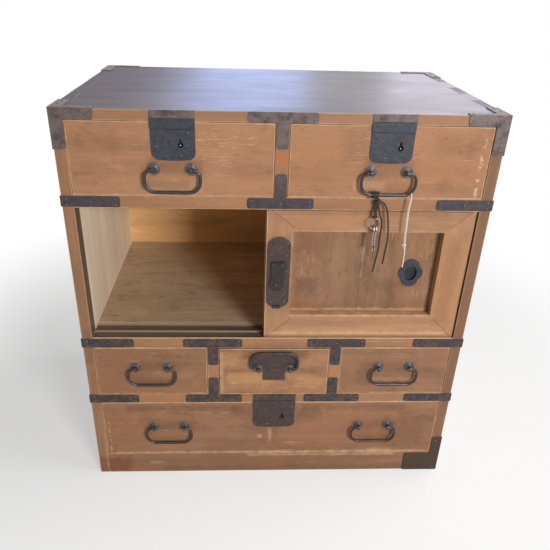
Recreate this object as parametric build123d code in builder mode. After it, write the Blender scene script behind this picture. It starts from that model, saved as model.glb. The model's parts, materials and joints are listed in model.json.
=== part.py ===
from build123d import *
import math
import os

# Isho clothing chest: a joined wooden case with six drawers and a compartment behind two
# sliding doors, dressed with wrought iron.
# Millimetres. Origin: centre of the underside. +Z is up and the front faces -Y.
# "Depth" is always measured back from the front plane of the case.

# ---------------------------------------------------------------- case
case_width = 740.0
case_depth = 450.0
side_thickness = 20.0
top_thickness = 18.0
bottom_thickness = 18.0
back_thickness = 12.0
back_rabbet = 10.0
back_board_count = 4
corner_finger_count = 7

# Heights of the rows, from the floor up.
bottom_rail_height = 54.0
bottom_row_height = 139.5
lower_row_height = 112.5
door_row_height = 266.0
upper_row_height = 125.5
rail_height = 23.5
rail_depth = 52.0
bottom_rail_depth = 20.0
shelf_thickness = 12.0
shelf_tongue = 5.0
shelf_tongue_drop = 5.0
shelf_tongue_length = 6.0
housing_depth = 7.0
rail_tenon_setback = 6.0

divider_width = 23.5
divider_stile_depth = 30.0
divider_web_thickness = 12.0
divider_tenon_width = 10.0
divider_tenon_setback = 6.0
divider_tenon_depth = 18.0
divider_tenon_length = 6.0
guide_strip_height = 12.0
runner_width = 24.0

# ---------------------------------------------------------------- door tracks
track_lip = 3.5
track_width = 19.0
track_ridge = 5.5
sill_groove_depth = 3.5
head_groove_depth = 9.5

# ---------------------------------------------------------------- doors
door_face_setback = 2.0
door_thickness = 22.0
door_overlap = 44.0
door_side_clearance = 1.0
door_stop_clearance = 2.0
door_tongue_thickness = 16.0
door_tongue_front = 3.0
door_tongue_lift = 0.5
door_tongue_rise = 6.0
door_foot_rabbet = 10.0
door_head_rabbet = 8.0
door_outer_rabbet = 9.0
meeting_stile_width = 48.0
outer_stile_width = 44.0
door_top_rail_height = 39.5
door_bottom_rail_height = 45.0
door_panel_thickness = 4.5
door_panel_recess = 16.0
door_panel_groove = 6.0
door_panel_clearance = 0.5
door_panel_seam_inset = 129.0
door_panel_seam = 0.36

# ---------------------------------------------------------------- drawers
drawer_side_clearance = 0.8
drawer_top_clearance = 1.1
drawer_bottom_clearance = 0.3
drawer_setback = 1.0
middle_drawer_stand_out = 2.5
drawer_back_clearance = 9.0
drawer_front_thickness = 18.0
drawer_front_lap = 8.0
drawer_side_thickness = 9.0
drawer_back_thickness = 9.0
drawer_bottom_thickness = 6.0
drawer_side_drop = 4.0
drawer_finger_count = 3

# ---------------------------------------------------------------- bails and their cotter pins
bail_pin_spacing = 62.0
bail_width = 98.0
bail_drop = 38.0
bail_mid_radius = 3.3
bail_side_radius = 2.8
bail_end_radius = 2.2
bail_end_overhang = 4.5
bail_shoulder_radius = 12.6
bail_corner_radius = 19.0
bail_pivot_stand_off = 9.0
cotter_eye_radius = 4.6
cotter_width = 4.4
cotter_clearance = 0.3
bail_rest_clearance = 0.3
cotter_leg_length = 11.0
cotter_leg_thickness = 1.4
rosette_radius = 11.0
small_rosette_radius = 8.0
rosette_height = 3.0
small_rosette_height = 2.2
rosette_rim = 0.8
rosette_step = 1.2
rosette_step_share = 0.75
rosette_crown_share = 0.32
rosette_bow_share = 0.86
row_bail_height = 46.5
lower_bail_height = 66.0
bottom_bail_height = 76.3
bottom_bail_spread = 215.0

# ---------------------------------------------------------------- iron mounts
iron_thickness = 1.6
corner_reach = 68.0
front_corner_drop = 66.0
corner_top_front_width = 11.0
corner_top_side_width = 19.0
corner_top_reach = 61.0
back_corner_reach = 70.0
back_corner_run = 72.0
foot_corner_reach = 76.0
foot_corner_height = 49.0
foot_corner_leg_top = 95.0
t_bar_half_length = 57.0
t_leg_half_width = 10.0
t_leg_reach = 42.5
strap_reach = 98.0
strap_height = 19.0
strap_wrap = 45.0
iron_corner_fillet = 4.5

# ---------------------------------------------------------------- locks
lock_plate_width = 72.0
lock_plate_height = 53.0
lock_plate_fillet = 13.0
lock_plate_bow = 2.5
lock_band_height = 16.5
lock_band_overlap = 5.0
lock_band_thickness = 3.2
lock_band_clearance = 0.3
lock_strike_gap = 0.4
keyhole_radius = 4.8
keyhole_stem_width = 3.2
keyhole_stem_height = 10.0
lock_case_width = 52.0
lock_case_height = 36.0
lock_case_thickness = 8.0
upper_left_lock_offset = 2.875
upper_right_lock_offset = 0.125
bottom_lock_width = 87.0
bottom_lock_height = 55.0
bottom_lock_offset = 3.0
upper_left_keyhole = 12.0
upper_right_keyhole = 14.5
bottom_keyhole = 17.0

backplate_half_width = 45.0
backplate_rise = 32.0
backplate_fall = 8.0
backplate_tab_half_width = 22.0
backplate_tab_fall = 28.5
backplate_fillet = 14.0

# ---------------------------------------------------------------- door fittings
door_plate_inset = 23.0
door_plate_width = 42.0
door_plate_foot_margin = 61.0
door_plate_head_margin = 50.0
door_plate_end_rise = 14.0
latch_width = 24.5
latch_height = 36.0
latch_rise = 61.0
latch_offset = -1.0
latch_boss_offset = -3.5
latch_boss_drop = 10.0
latch_boss_radius = 13.0
latch_thickness = 3.0
latch_neck_width = 6.0
latch_neck_height = 14.0
latch_foot_width = 14.0
latch_foot_height = 20.0
latch_foot_thickness = 4.0
latch_travel = 6.0
latch_clearance = 0.3
pull_inset = 45.5
pull_rise = 83.0
pull_lobe_radius = 15.5
pull_lobe_rise = 13.0
pull_lobe_spread = 7.8
pull_cup_half_width = 12.0
pull_cup_half_height = 15.5
pull_cup_depth = 4.6
pull_cup_wall = 0.8

# ---------------------------------------------------------------- keys, thong and tag string
thong_diameter = 3.0
string_diameter = 2.2
cord_bend_share = 0.45
wrap_width = 12.0
wrap_thickness = 3.0
wrap_clearance = 0.3
wrap_offset = -20.875
thong_knot_offset = -15.375
thong_knot_drop = 12.5
thong_knot_radius = 6.2
ring_knot_offset = -16.875
ring_knot_drop = 40.5
ring_knot_radius = 4.4
key_ring_offset = -16.275
key_ring_drop = 52.5
key_ring_radius = 10.0
key_ring_wire_radius = 1.0
key_bow_radius = 5.2
key_bow_hole_radius = 2.8
key_bow_hang = 1.1
key_bow_thickness = 2.4
key_shank_radius = 1.8
key_shank_length = 34.0
key_shank_shoulder = 1.2
key_bit_length = 5.0
key_bit_height = 7.0
key_bit_thickness = 2.0
key_angles = (1.0, 25.0)

# ---------------------------------------------------------------- worked out from the above
front_y = -case_depth / 2
inner_half = case_width / 2 - side_thickness
bottom_row_floor = bottom_rail_height
lower_rail_z = bottom_row_floor + bottom_row_height
lower_row_floor = lower_rail_z + rail_height
middle_rail_z = lower_row_floor + lower_row_height
door_row_floor = middle_rail_z + rail_height
upper_rail_z = door_row_floor + door_row_height
upper_row_floor = upper_rail_z + rail_height
upper_row_ceiling = upper_row_floor + upper_row_height
case_height = upper_row_ceiling + top_thickness
back_panel_depth = case_depth - back_thickness
drawer_length = back_panel_depth - drawer_setback - drawer_back_clearance
track_pitch = track_width + track_ridge
# The upright legs of the corner irons end with the side, so that no drawer meets them.
corner_leg_width = side_thickness
foot_corner_leg_width = side_thickness


def at_depth(depth, x=0.0, z=0.0):
    """A plane facing the front, its own x and y along X and Z."""
    return Plane(origin=(x, front_y + depth, z), x_dir=(1, 0, 0), z_dir=(0, -1, 0))


def block(x, depth, z, mode=Mode.ADD):
    """Add or cut a squared piece; each argument is a (low, high) pair."""
    with BuildSketch(Plane.XY.offset(z[0])) as outline:
        with Locations(((x[0] + x[1]) / 2, front_y + (depth[0] + depth[1]) / 2)):
            Rectangle(x[1] - x[0], depth[1] - depth[0])
    extrude(outline.sketch, amount=z[1] - z[0], mode=mode)


def mirrored_block(x, depth, z, mode=Mode.ADD):
    """The same piece on both sides of the centre plane."""
    block(x, depth, z, mode)
    block((-x[1], -x[0]), depth, z, mode)


def patch(x, z):
    """A rectangle in the sketch being drawn, from (low, high) pairs."""
    with Locations(((x[0] + x[1]) / 2, (z[0] + z[1]) / 2)):
        Rectangle(x[1] - x[0], z[1] - z[0])


def bands(low, high, count):
    """Split a length into equal bands, as (low, high) pairs."""
    step = (high - low) / count
    return [(low + i * step, low + (i + 1) * step) for i in range(count)]


def cells(count):
    """Centres and width of equal openings between the sides, one divider between each two."""
    width = (2 * inner_half - (count - 1) * divider_width) / count
    centres = [-inner_half + width / 2 + i * (width + divider_width) for i in range(count)]
    return centres, width


def write(piece, node):
    """Name a finished piece and write its STEP file."""
    piece.part.label = node
    export_step(piece.part, f"parts/{node}.step")


def write_group(pieces, node):
    """Write pieces that touch, but stay separate solids, as one node."""
    solids = [solid for piece in pieces for solid in piece.part.solids()]
    group = Compound(label=node, children=solids)
    export_step(group, f"parts/{node}.step")


os.makedirs("parts", exist_ok=True)

upper_centres, upper_cell = cells(2)
lower_centres, lower_cell = cells(3)
lower_divider_centres = [
    (lower_centres[0] + lower_centres[1]) / 2,
    (lower_centres[1] + lower_centres[2]) / 2,
]

# ================================================================ case
top_fingers = bands(0, case_depth, corner_finger_count)
bottom_fingers = bands(bottom_rail_depth, case_depth, corner_finger_count)
shelf_floors = (lower_row_floor, door_row_floor, upper_row_floor)

with BuildPart() as right_side:
    block((inner_half, case_width / 2), (0, case_depth), (0, case_height))
    for finger in top_fingers[0::2]:
        block((inner_half, case_width / 2), finger, (upper_row_ceiling, case_height), Mode.SUBTRACT)
    for finger in bottom_fingers[0::2]:
        block((inner_half, case_width / 2), finger, (0, bottom_thickness), Mode.SUBTRACT)
    housing = (inner_half, inner_half + housing_depth)
    for floor in shelf_floors:
        block(housing, (rail_tenon_setback, rail_depth), (floor - rail_height, floor), Mode.SUBTRACT)
        block(housing, (rail_depth, back_panel_depth), (floor - shelf_thickness, floor), Mode.SUBTRACT)
    block(
        housing,
        (rail_tenon_setback, bottom_rail_depth),
        (rail_tenon_setback, bottom_rail_height - rail_tenon_setback),
        Mode.SUBTRACT,
    )
    block(
        (inner_half, inner_half + back_rabbet),
        (back_panel_depth, case_depth),
        (bottom_thickness, upper_row_ceiling),
        Mode.SUBTRACT,
    )

with BuildPart() as left_side:
    mirror(right_side.part, about=Plane.YZ)

with BuildPart() as top_board:
    block((-inner_half, inner_half), (0, case_depth), (upper_row_ceiling, case_height))
    for finger in top_fingers[0::2]:
        mirrored_block((inner_half, case_width / 2), finger, (upper_row_ceiling, case_height))
    block(
        (-divider_tenon_width / 2, divider_tenon_width / 2),
        (divider_tenon_setback, divider_tenon_setback + divider_tenon_depth),
        (upper_row_ceiling, upper_row_ceiling + divider_tenon_length),
        Mode.SUBTRACT,
    )

with BuildPart() as bottom_board:
    block((-inner_half, inner_half), (bottom_rail_depth, case_depth), (0, bottom_thickness))
    for finger in bottom_fingers[0::2]:
        mirrored_block((inner_half, case_width / 2), finger, (0, bottom_thickness))

back_boards = []
for heights in bands(bottom_thickness, upper_row_ceiling, back_board_count):
    with BuildPart() as back_board:
        block(
            (-inner_half - back_rabbet, inner_half + back_rabbet),
            (back_panel_depth, case_depth),
            heights,
        )
    back_boards.append(back_board)
write_group(back_boards, "back_panel")

with BuildPart() as bottom_rail:
    block((-inner_half, inner_half), (0, bottom_rail_depth), (0, bottom_rail_height))
    mirrored_block(
        (inner_half, inner_half + housing_depth),
        (rail_tenon_setback, bottom_rail_depth),
        (rail_tenon_setback, bottom_rail_height - rail_tenon_setback),
    )

with BuildPart() as drawer_runners:
    runner_depth = (bottom_rail_depth, back_panel_depth)
    runner_z = (bottom_thickness, bottom_rail_height)
    mirrored_block((inner_half - runner_width, inner_half), runner_depth, runner_z)
    block((-runner_width / 2, runner_width / 2), runner_depth, runner_z)


def divider_mortises(centres, z):
    """Cut the sockets for the divider tenons."""
    for x in centres:
        block(
            (x - divider_tenon_width / 2, x + divider_tenon_width / 2),
            (divider_tenon_setback, divider_tenon_setback + divider_tenon_depth),
            z,
            Mode.SUBTRACT,
        )


def cross_rail(floor, divider_above, divider_below, sill, head):
    """A rail between the sides whose top is a row's floor."""
    under = floor - rail_height
    with BuildPart() as rail:
        block((-inner_half, inner_half), (0, rail_depth), (under, floor))
        mirrored_block(
            (inner_half, inner_half + housing_depth),
            (rail_tenon_setback, rail_depth),
            (under, floor),
        )
        block(
            (-inner_half, inner_half),
            (rail_depth - shelf_tongue_length, rail_depth),
            (floor - shelf_tongue_drop - shelf_tongue, floor - shelf_tongue_drop),
            Mode.SUBTRACT,
        )
        for track in range(2):
            front = track_lip + track * track_pitch
            groove = (front, front + track_width)
            if sill:
                block((-inner_half, inner_half), groove, (floor - sill_groove_depth, floor), Mode.SUBTRACT)
            if head:
                block((-inner_half, inner_half), groove, (under, under + head_groove_depth), Mode.SUBTRACT)
        divider_mortises(divider_above, (floor - divider_tenon_length, floor))
        divider_mortises(divider_below, (under, under + divider_tenon_length))
    return rail


lower_rail = cross_rail(lower_row_floor, lower_divider_centres, (), sill=False, head=False)
middle_rail = cross_rail(door_row_floor, (), lower_divider_centres, sill=True, head=False)
upper_rail = cross_rail(upper_row_floor, (0.0,), (), sill=False, head=True)


def shelf(floor):
    """A dust board behind a rail, level with its top, let into the sides."""
    with BuildPart() as board:
        block(
            (-inner_half - housing_depth, inner_half + housing_depth),
            (rail_depth, back_panel_depth),
            (floor - shelf_thickness, floor),
        )
        block(
            (-inner_half, inner_half),
            (rail_depth - shelf_tongue_length, rail_depth),
            (floor - shelf_tongue_drop - shelf_tongue, floor - shelf_tongue_drop),
        )
    return board


lower_shelf = shelf(lower_row_floor)
middle_shelf = shelf(door_row_floor)
upper_shelf = shelf(upper_row_floor)


def divider(x, floor, ceiling):
    """A tenoned stile, the web behind it and a guide strip on each side of its foot."""
    half = divider_width / 2
    web = divider_web_thickness / 2
    block((x - half, x + half), (0, divider_stile_depth), (floor, ceiling))
    for tenon in (
        (floor - divider_tenon_length, floor),
        (ceiling, ceiling + divider_tenon_length),
    ):
        block(
            (x - divider_tenon_width / 2, x + divider_tenon_width / 2),
            (divider_tenon_setback, divider_tenon_setback + divider_tenon_depth),
            tenon,
        )
    behind = (divider_stile_depth, back_panel_depth)
    block((x - web, x + web), behind, (floor, ceiling))
    block((x - half, x - web), behind, (floor, floor + guide_strip_height))
    block((x + web, x + half), behind, (floor, floor + guide_strip_height))


with BuildPart() as drawer_dividers:
    divider(0.0, upper_row_floor, upper_row_ceiling)
    for centre in lower_divider_centres:
        divider(centre, lower_row_floor, middle_rail_z)

for case_piece, node in (
    (right_side, "right_side"),
    (left_side, "left_side"),
    (top_board, "top_board"),
    (bottom_board, "bottom_board"),
    (bottom_rail, "bottom_rail"),
    (drawer_runners, "drawer_runners"),
    (lower_rail, "lower_rail"),
    (middle_rail, "middle_rail"),
    (upper_rail, "upper_rail"),
    (lower_shelf, "lower_shelf"),
    (middle_shelf, "middle_shelf"),
    (upper_shelf, "upper_shelf"),
    (drawer_dividers, "drawer_dividers"),
):
    write(case_piece, node)

# ================================================================ iron mounts on the case
right_face = Plane(origin=(case_width / 2, 0, 0), x_dir=(0, 1, 0), z_dir=(1, 0, 0))
top_face = Plane.XY.offset(case_height)
iron_right = case_width / 2 + iron_thickness
iron_top = case_height + iron_thickness
iron_front = front_y - iron_thickness
iron_back = -front_y + iron_thickness


def soften(outline, *corners):
    """Round the corners of a sheet outline that lie nearest to some (x, z) places on the front."""
    nearest = [
        outline.vertices().sort_by_distance((x, front_y, z))[0] for x, z in corners
    ]
    fillet(nearest, radius=iron_corner_fillet)


def front_corner():
    """Three folded legs over the right front corner of the top."""
    with BuildSketch(at_depth(0)) as face:
        patch((case_width / 2 - corner_reach, iron_right), (upper_row_ceiling, iron_top))
        patch(
            (case_width / 2 - corner_leg_width, iron_right),
            (case_height - front_corner_drop, upper_row_ceiling),
        )
        soften(
            face,
            (case_width / 2 - corner_reach, upper_row_ceiling),
            (case_width / 2 - corner_leg_width, case_height - front_corner_drop),
        )
    extrude(face.sketch, amount=iron_thickness)
    with BuildSketch(top_face) as lid:
        patch((case_width / 2 - corner_reach, iron_right), (iron_front, front_y + corner_top_front_width))
        patch((case_width / 2 - corner_top_side_width, iron_right), (iron_front, front_y + corner_top_reach))
    extrude(lid.sketch, amount=iron_thickness)
    with BuildSketch(right_face) as flank:
        patch((iron_front, front_y + corner_leg_width), (case_height - front_corner_drop, iron_top))
        patch((front_y, front_y + corner_top_reach), (case_height - corner_leg_width, iron_top))
    extrude(flank.sketch, amount=iron_thickness)


def back_corner():
    """The smaller angle over the right back corner of the top."""
    with BuildSketch(top_face) as lid:
        patch(
            (case_width / 2 - back_corner_reach, iron_right),
            (-front_y - corner_top_front_width, iron_back),
        )
        patch((case_width / 2 - corner_top_side_width, iron_right), (-front_y - back_corner_run, iron_back))
    extrude(lid.sketch, amount=iron_thickness)
    with BuildSketch(right_face) as flank:
        patch((-front_y - back_corner_run, iron_back), (case_height - corner_leg_width, iron_top))
    extrude(flank.sketch, amount=iron_thickness)
    with BuildSketch(at_depth(case_depth + iron_thickness)) as rear:
        patch((case_width / 2 - back_corner_reach, iron_right), (case_height - corner_leg_width, iron_top))
    extrude(rear.sketch, amount=iron_thickness)


def foot_corner():
    """The plate that wraps the right front foot."""
    with BuildSketch(at_depth(0)) as face:
        patch((case_width / 2 - foot_corner_reach, iron_right), (0, foot_corner_height))
        patch(
            (case_width / 2 - foot_corner_leg_width, iron_right),
            (foot_corner_height, foot_corner_leg_top),
        )
        soften(
            face,
            (case_width / 2 - foot_corner_leg_width, foot_corner_leg_top),
            (case_width / 2 - foot_corner_reach, foot_corner_height),
        )
    extrude(face.sketch, amount=iron_thickness)
    with BuildSketch(right_face) as flank:
        patch((iron_front, front_y + foot_corner_reach), (0, foot_corner_height))
        patch((iron_front, front_y + foot_corner_leg_width), (foot_corner_height, foot_corner_leg_top))
    extrude(flank.sketch, amount=iron_thickness)


with BuildPart() as right_corner_pair:
    front_corner()
    back_corner()

with BuildPart() as corner_irons:
    add(right_corner_pair.part)
    mirror(right_corner_pair.part, about=Plane.YZ)
    foot_corner()
write(corner_irons, "corner_irons")


def t_iron(x, bar, leg_end):
    """A T plate on the front: its bar on a rail, its leg on the divider above or below."""
    with BuildSketch(at_depth(0)) as outline:
        patch((x - t_bar_half_length, x + t_bar_half_length), bar)
        patch(
            (x - t_leg_half_width, x + t_leg_half_width),
            (min(bar[0], leg_end), max(bar[1], leg_end)),
        )
        sides = (-1, 1)
        leg_corners = [(x + side * t_leg_half_width, leg_end) for side in sides]
        bar_corners = [(x + side * t_bar_half_length, edge) for side in sides for edge in bar]
        soften(outline, *leg_corners, *bar_corners)
    extrude(outline.sketch, amount=iron_thickness)


def strap_band(rail_z):
    """Heights of the iron on the face of a rail, centred on it."""
    margin = (rail_height - strap_height) / 2
    return (rail_z + margin, rail_z + rail_height - margin)


with BuildPart() as t_irons:
    t_iron(0.0, (upper_row_ceiling, case_height), upper_row_ceiling - t_leg_reach)
    t_iron(0.0, strap_band(upper_rail_z), strap_band(upper_rail_z)[1] + t_leg_reach)
    for centre in lower_divider_centres:
        t_iron(centre, strap_band(middle_rail_z), strap_band(middle_rail_z)[0] - t_leg_reach)
        t_iron(centre, strap_band(lower_rail_z), strap_band(lower_rail_z)[1] + t_leg_reach)
write(t_irons, "t_irons")

with BuildPart() as right_straps:
    for rail_z in (lower_rail_z, middle_rail_z, upper_rail_z):
        strap = strap_band(rail_z)
        with BuildSketch(at_depth(0)) as strap_face:
            patch((case_width / 2 - strap_reach, iron_right), strap)
            soften(strap_face, *[(case_width / 2 - strap_reach, edge) for edge in strap])
        extrude(strap_face.sketch, amount=iron_thickness)
        with BuildSketch(right_face) as strap_flank:
            patch((iron_front, front_y + strap_wrap), strap)
        extrude(strap_flank.sketch, amount=iron_thickness)

with BuildPart() as rail_end_straps:
    add(right_straps.part)
    mirror(right_straps.part, about=Plane.YZ)
write(rail_end_straps, "rail_end_straps")

# ================================================================ drawers
# name, centre, width of the opening, floor, ceiling, setback of the face, bail centres,
# bail height above the floor, swing of the bail at rest in degrees
bail_lean = math.degrees(
    math.asin(
        (bail_pivot_stand_off - bail_mid_radius - iron_thickness - bail_rest_clearance) / bail_drop
    )
)
hanging = 0.0
flipped_up = 180.0 + bail_lean
drawers = (
    (
        "upper_left", upper_centres[0], upper_cell, upper_row_floor, upper_row_ceiling,
        drawer_setback, (upper_centres[0],), row_bail_height, hanging,
    ),
    (
        "upper_right", upper_centres[1], upper_cell, upper_row_floor, upper_row_ceiling,
        drawer_setback, (upper_centres[1],), row_bail_height, hanging,
    ),
    (
        "lower_left", lower_centres[0], lower_cell, lower_row_floor, middle_rail_z,
        drawer_setback, (lower_centres[0],), lower_bail_height, hanging,
    ),
    (
        "lower_middle", lower_centres[1], lower_cell, lower_row_floor, middle_rail_z,
        -middle_drawer_stand_out, (lower_centres[1],), lower_bail_height, flipped_up,
    ),
    (
        "lower_right", lower_centres[2], lower_cell, lower_row_floor, middle_rail_z,
        drawer_setback, (lower_centres[2],), lower_bail_height, hanging,
    ),
    (
        "bottom", 0.0, 2 * inner_half, bottom_row_floor, lower_rail_z,
        drawer_setback, (-bottom_bail_spread, bottom_bail_spread), bottom_bail_height, hanging,
    ),
)

# drawer: plate centre, width and height, ceiling of the row, top of the strike, keyhole offset
locks = {
    "upper_left": (
        upper_centres[0] + upper_left_lock_offset, lock_plate_width, lock_plate_height,
        upper_row_ceiling, case_height, upper_left_keyhole,
    ),
    "upper_right": (
        upper_centres[1] + upper_right_lock_offset, lock_plate_width, lock_plate_height,
        upper_row_ceiling, case_height, upper_right_keyhole,
    ),
    "bottom": (
        bottom_lock_offset, bottom_lock_width, bottom_lock_height,
        lower_rail_z, strap_band(lower_rail_z)[1], bottom_keyhole,
    ),
}


def pin_places(bail_centres):
    """X of every cotter pin of a drawer."""
    return [x + side * bail_pin_spacing / 2 for x in bail_centres for side in (-1, 1)]


def lock_heights(plate_height, ceiling):
    """Bottom and top of the lock plate, and of the band above it."""
    band_top = ceiling + lock_band_overlap
    plate_top = band_top - lock_band_height
    return plate_top - plate_height, plate_top, band_top


def keyhole(lock, depth, length, mode):
    """Cut the keyhole, a round with a stem, through a sheet or a board."""
    x, width, height, ceiling, _, offset = lock
    bottom, top, _ = lock_heights(height, ceiling)
    middle = (bottom + top) / 2
    with BuildSketch(at_depth(depth)) as hole:
        with Locations((x + offset, middle)):
            Circle(keyhole_radius)
        patch(
            (x + offset - keyhole_stem_width / 2, x + offset + keyhole_stem_width / 2),
            (middle, middle + keyhole_stem_height),
        )
    extrude(hole.sketch, amount=-length, mode=mode)


def lock_case(lock, face, mode):
    """The iron lock case, let in flush behind the drawer front."""
    x, width, height, ceiling, _, offset = lock
    bottom, top, _ = lock_heights(height, ceiling)
    middle = (bottom + top) / 2
    rear = face + drawer_front_thickness
    block(
        (x + offset - lock_case_width / 2, x + offset + lock_case_width / 2),
        (rear - lock_case_thickness, rear),
        (middle - lock_case_height / 2, middle + lock_case_height / 2),
        mode,
    )


def drawer_heights(floor, ceiling):
    """Underside of a drawer and top edge of its front."""
    return floor + drawer_bottom_clearance, ceiling - drawer_top_clearance


def drawer_front(name, centre, opening, floor, ceiling, face, pins, pin_z):
    """The front board, rabbeted at its ends and foot for the box, and bored for its iron."""
    half = opening / 2 - drawer_side_clearance
    inner = half - drawer_side_thickness
    low, high = drawer_heights(floor, ceiling)
    rear = face + drawer_front_thickness
    with BuildPart() as front:
        block((centre - half, centre + half), (face, face + drawer_front_lap), (low, high))
        block(
            (centre - inner, centre + inner),
            (face + drawer_front_lap, rear),
            (low + drawer_bottom_thickness, high),
        )
        for x in pins:
            block(
                (x - cotter_width / 2, x + cotter_width / 2),
                (face, rear),
                (pin_z - cotter_width / 2, pin_z + cotter_width / 2),
                Mode.SUBTRACT,
            )
        if name in locks:
            lock_case(locks[name], face, Mode.SUBTRACT)
            keyhole(locks[name], face, drawer_front_thickness - lock_case_thickness, Mode.SUBTRACT)
    return front


def drawer_box(centre, opening, floor, ceiling, face):
    """Two sides, a back fingered into them, and a bottom nailed on from below."""
    half = opening / 2 - drawer_side_clearance
    inner = half - drawer_side_thickness
    low, high = drawer_heights(floor, ceiling)
    start = face + drawer_front_lap
    end = face + drawer_length
    wall = (low + drawer_bottom_thickness, high - drawer_side_drop)
    back = (end - drawer_back_thickness, end)
    fingers = bands(wall[0], wall[1], drawer_finger_count)
    with BuildPart() as box:
        for edges in ((centre - half, centre - inner), (centre + inner, centre + half)):
            block(edges, (start, back[0]), wall)
            for finger in fingers[0::2]:
                block(edges, back, finger)
    with BuildPart() as rear_board:
        block((centre - inner, centre + inner), back, wall)
        for finger in fingers[1::2]:
            block((centre - half, centre + half), back, finger)
    with BuildPart() as floor_board:
        block((centre - half, centre + half), (start, end), (low, low + drawer_bottom_thickness))
    return box, rear_board, floor_board


def rosette(x, face, z, radius, height):
    """A low domed washer round a cotter pin."""
    dome_start = rosette_step_share * radius
    dome_top = rosette_crown_share * radius
    plane = Plane(origin=(x, front_y + face, z), x_dir=(1, 0, 0), z_dir=(0, 0, 1))
    with BuildPart() as washer:
        with BuildSketch(plane) as section:
            with BuildLine():
                Polyline((0, -height), (0, 0), (radius, 0), (radius, -rosette_rim))
                Line((radius, -rosette_rim), (dome_start, -rosette_step))
                ThreePointArc(
                    (dome_start, -rosette_step),
                    ((dome_start + dome_top) / 2, -rosette_bow_share * height),
                    (dome_top, -height),
                )
                Line((dome_top, -height), (0, -height))
            make_face()
        revolve(axis=Axis((x, front_y + face, z), (0, 1, 0)))
        half = cotter_width / 2
        block((x - half, x + half), (face - height, face), (z - half, z + half), Mode.SUBTRACT)
    return washer


def cotter(x, face, z):
    """A split pin: an eye before the front, a shank through it and two legs bent over inside."""
    half = cotter_width / 2
    eye_depth = face - bail_pivot_stand_off
    rear = face + drawer_front_thickness
    eye = Plane(origin=(x - half, front_y + eye_depth, z), x_dir=(0, 1, 0), z_dir=(1, 0, 0))
    with BuildPart() as pin:
        with BuildSketch(eye):
            Circle(cotter_eye_radius)
        extrude(amount=cotter_width)
        block((x - half, x + half), (eye_depth, rear), (z - half, z + half))
        block(
            (x - half, x + half),
            (rear, rear + cotter_leg_thickness),
            (z - cotter_leg_length, z + cotter_leg_length),
        )
        with BuildSketch(eye):
            Circle(bail_end_radius + cotter_clearance)
        extrude(amount=cotter_width, mode=Mode.SUBTRACT)
    return pin


def bail(x, face, z, swing):
    """A tapered drop bail: thick in the grip, slender where it turns in through the eyes."""
    turn = math.radians(swing)
    plane = Plane(
        origin=(x, front_y + face - bail_pivot_stand_off, z),
        x_dir=(1, 0, 0),
        z_dir=(0, -math.cos(turn), math.sin(turn)),
    )
    reach = bail_width / 2 - bail_side_radius
    end = bail_pin_spacing / 2 - bail_end_overhang
    with BuildPart() as half_bail:
        with BuildLine(plane) as centreline:
            FilletPolyline(
                (0, -bail_drop),
                (reach, -bail_drop),
                (reach, 0),
                (end, 0),
                radius=[bail_corner_radius, bail_shoulder_radius],
            )
        path = centreline.wire()
        with BuildSketch(Plane(path @ 0, z_dir=path % 0)) as grip:
            Circle(bail_mid_radius)
        with BuildSketch(Plane(path @ 1, z_dir=path % 1)) as tip:
            Circle(bail_end_radius)
        sweep([grip.sketch, tip.sketch], path=path, multisection=True)
    with BuildPart() as whole:
        add(half_bail.part)
        mirror(half_bail.part, about=Plane.YZ.offset(x))
    return whole


def lock_plate(lock, face):
    """Plate with a keyhole, and the raised band above it that reaches over the rail."""
    x, width, height, ceiling, _, _ = lock
    bottom, top, band_top = lock_heights(height, ceiling)
    edges = (x - width / 2, x + width / 2)
    with BuildPart() as plate:
        with BuildSketch(at_depth(face)) as outline:
            shoulder = bottom + lock_plate_bow
            with BuildLine():
                Polyline((edges[0], shoulder), (edges[0], top), (edges[1], top), (edges[1], shoulder))
                ThreePointArc((edges[1], shoulder), (x, bottom), (edges[0], shoulder))
            make_face()
            for edge in edges:
                nearest = outline.vertices().sort_by_distance((edge, front_y + face, shoulder))[0]
                fillet(nearest, radius=lock_plate_fillet)
        extrude(amount=iron_thickness)
        keyhole(lock, face - iron_thickness, iron_thickness, Mode.SUBTRACT)
        block(
            edges,
            (face - lock_band_thickness, -lock_band_clearance),
            (top, band_top - lock_strike_gap),
        )
        block(edges, (-lock_band_clearance, face), (top, ceiling - drawer_top_clearance))
    with BuildPart() as case:
        lock_case(lock, face, Mode.ADD)
    return plate, case


def backplate(x, face, z, pins):
    """The plate that stands behind a bail, with a tab hanging below it."""
    half = cotter_width / 2
    upper = (z - backplate_fall, z + backplate_rise)
    with BuildPart() as plate:
        with BuildSketch(at_depth(face)) as outline:
            patch((x - backplate_half_width, x + backplate_half_width), upper)
            fillet(outline.vertices(), radius=backplate_fillet)
            patch(
                (x - backplate_tab_half_width, x + backplate_tab_half_width),
                (z - backplate_tab_fall, z),
            )
        extrude(amount=iron_thickness)
        for pin_x in pins:
            block(
                (pin_x - half, pin_x + half),
                (face - iron_thickness, face),
                (z - half, z + half),
                Mode.SUBTRACT,
            )
    return plate


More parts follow.
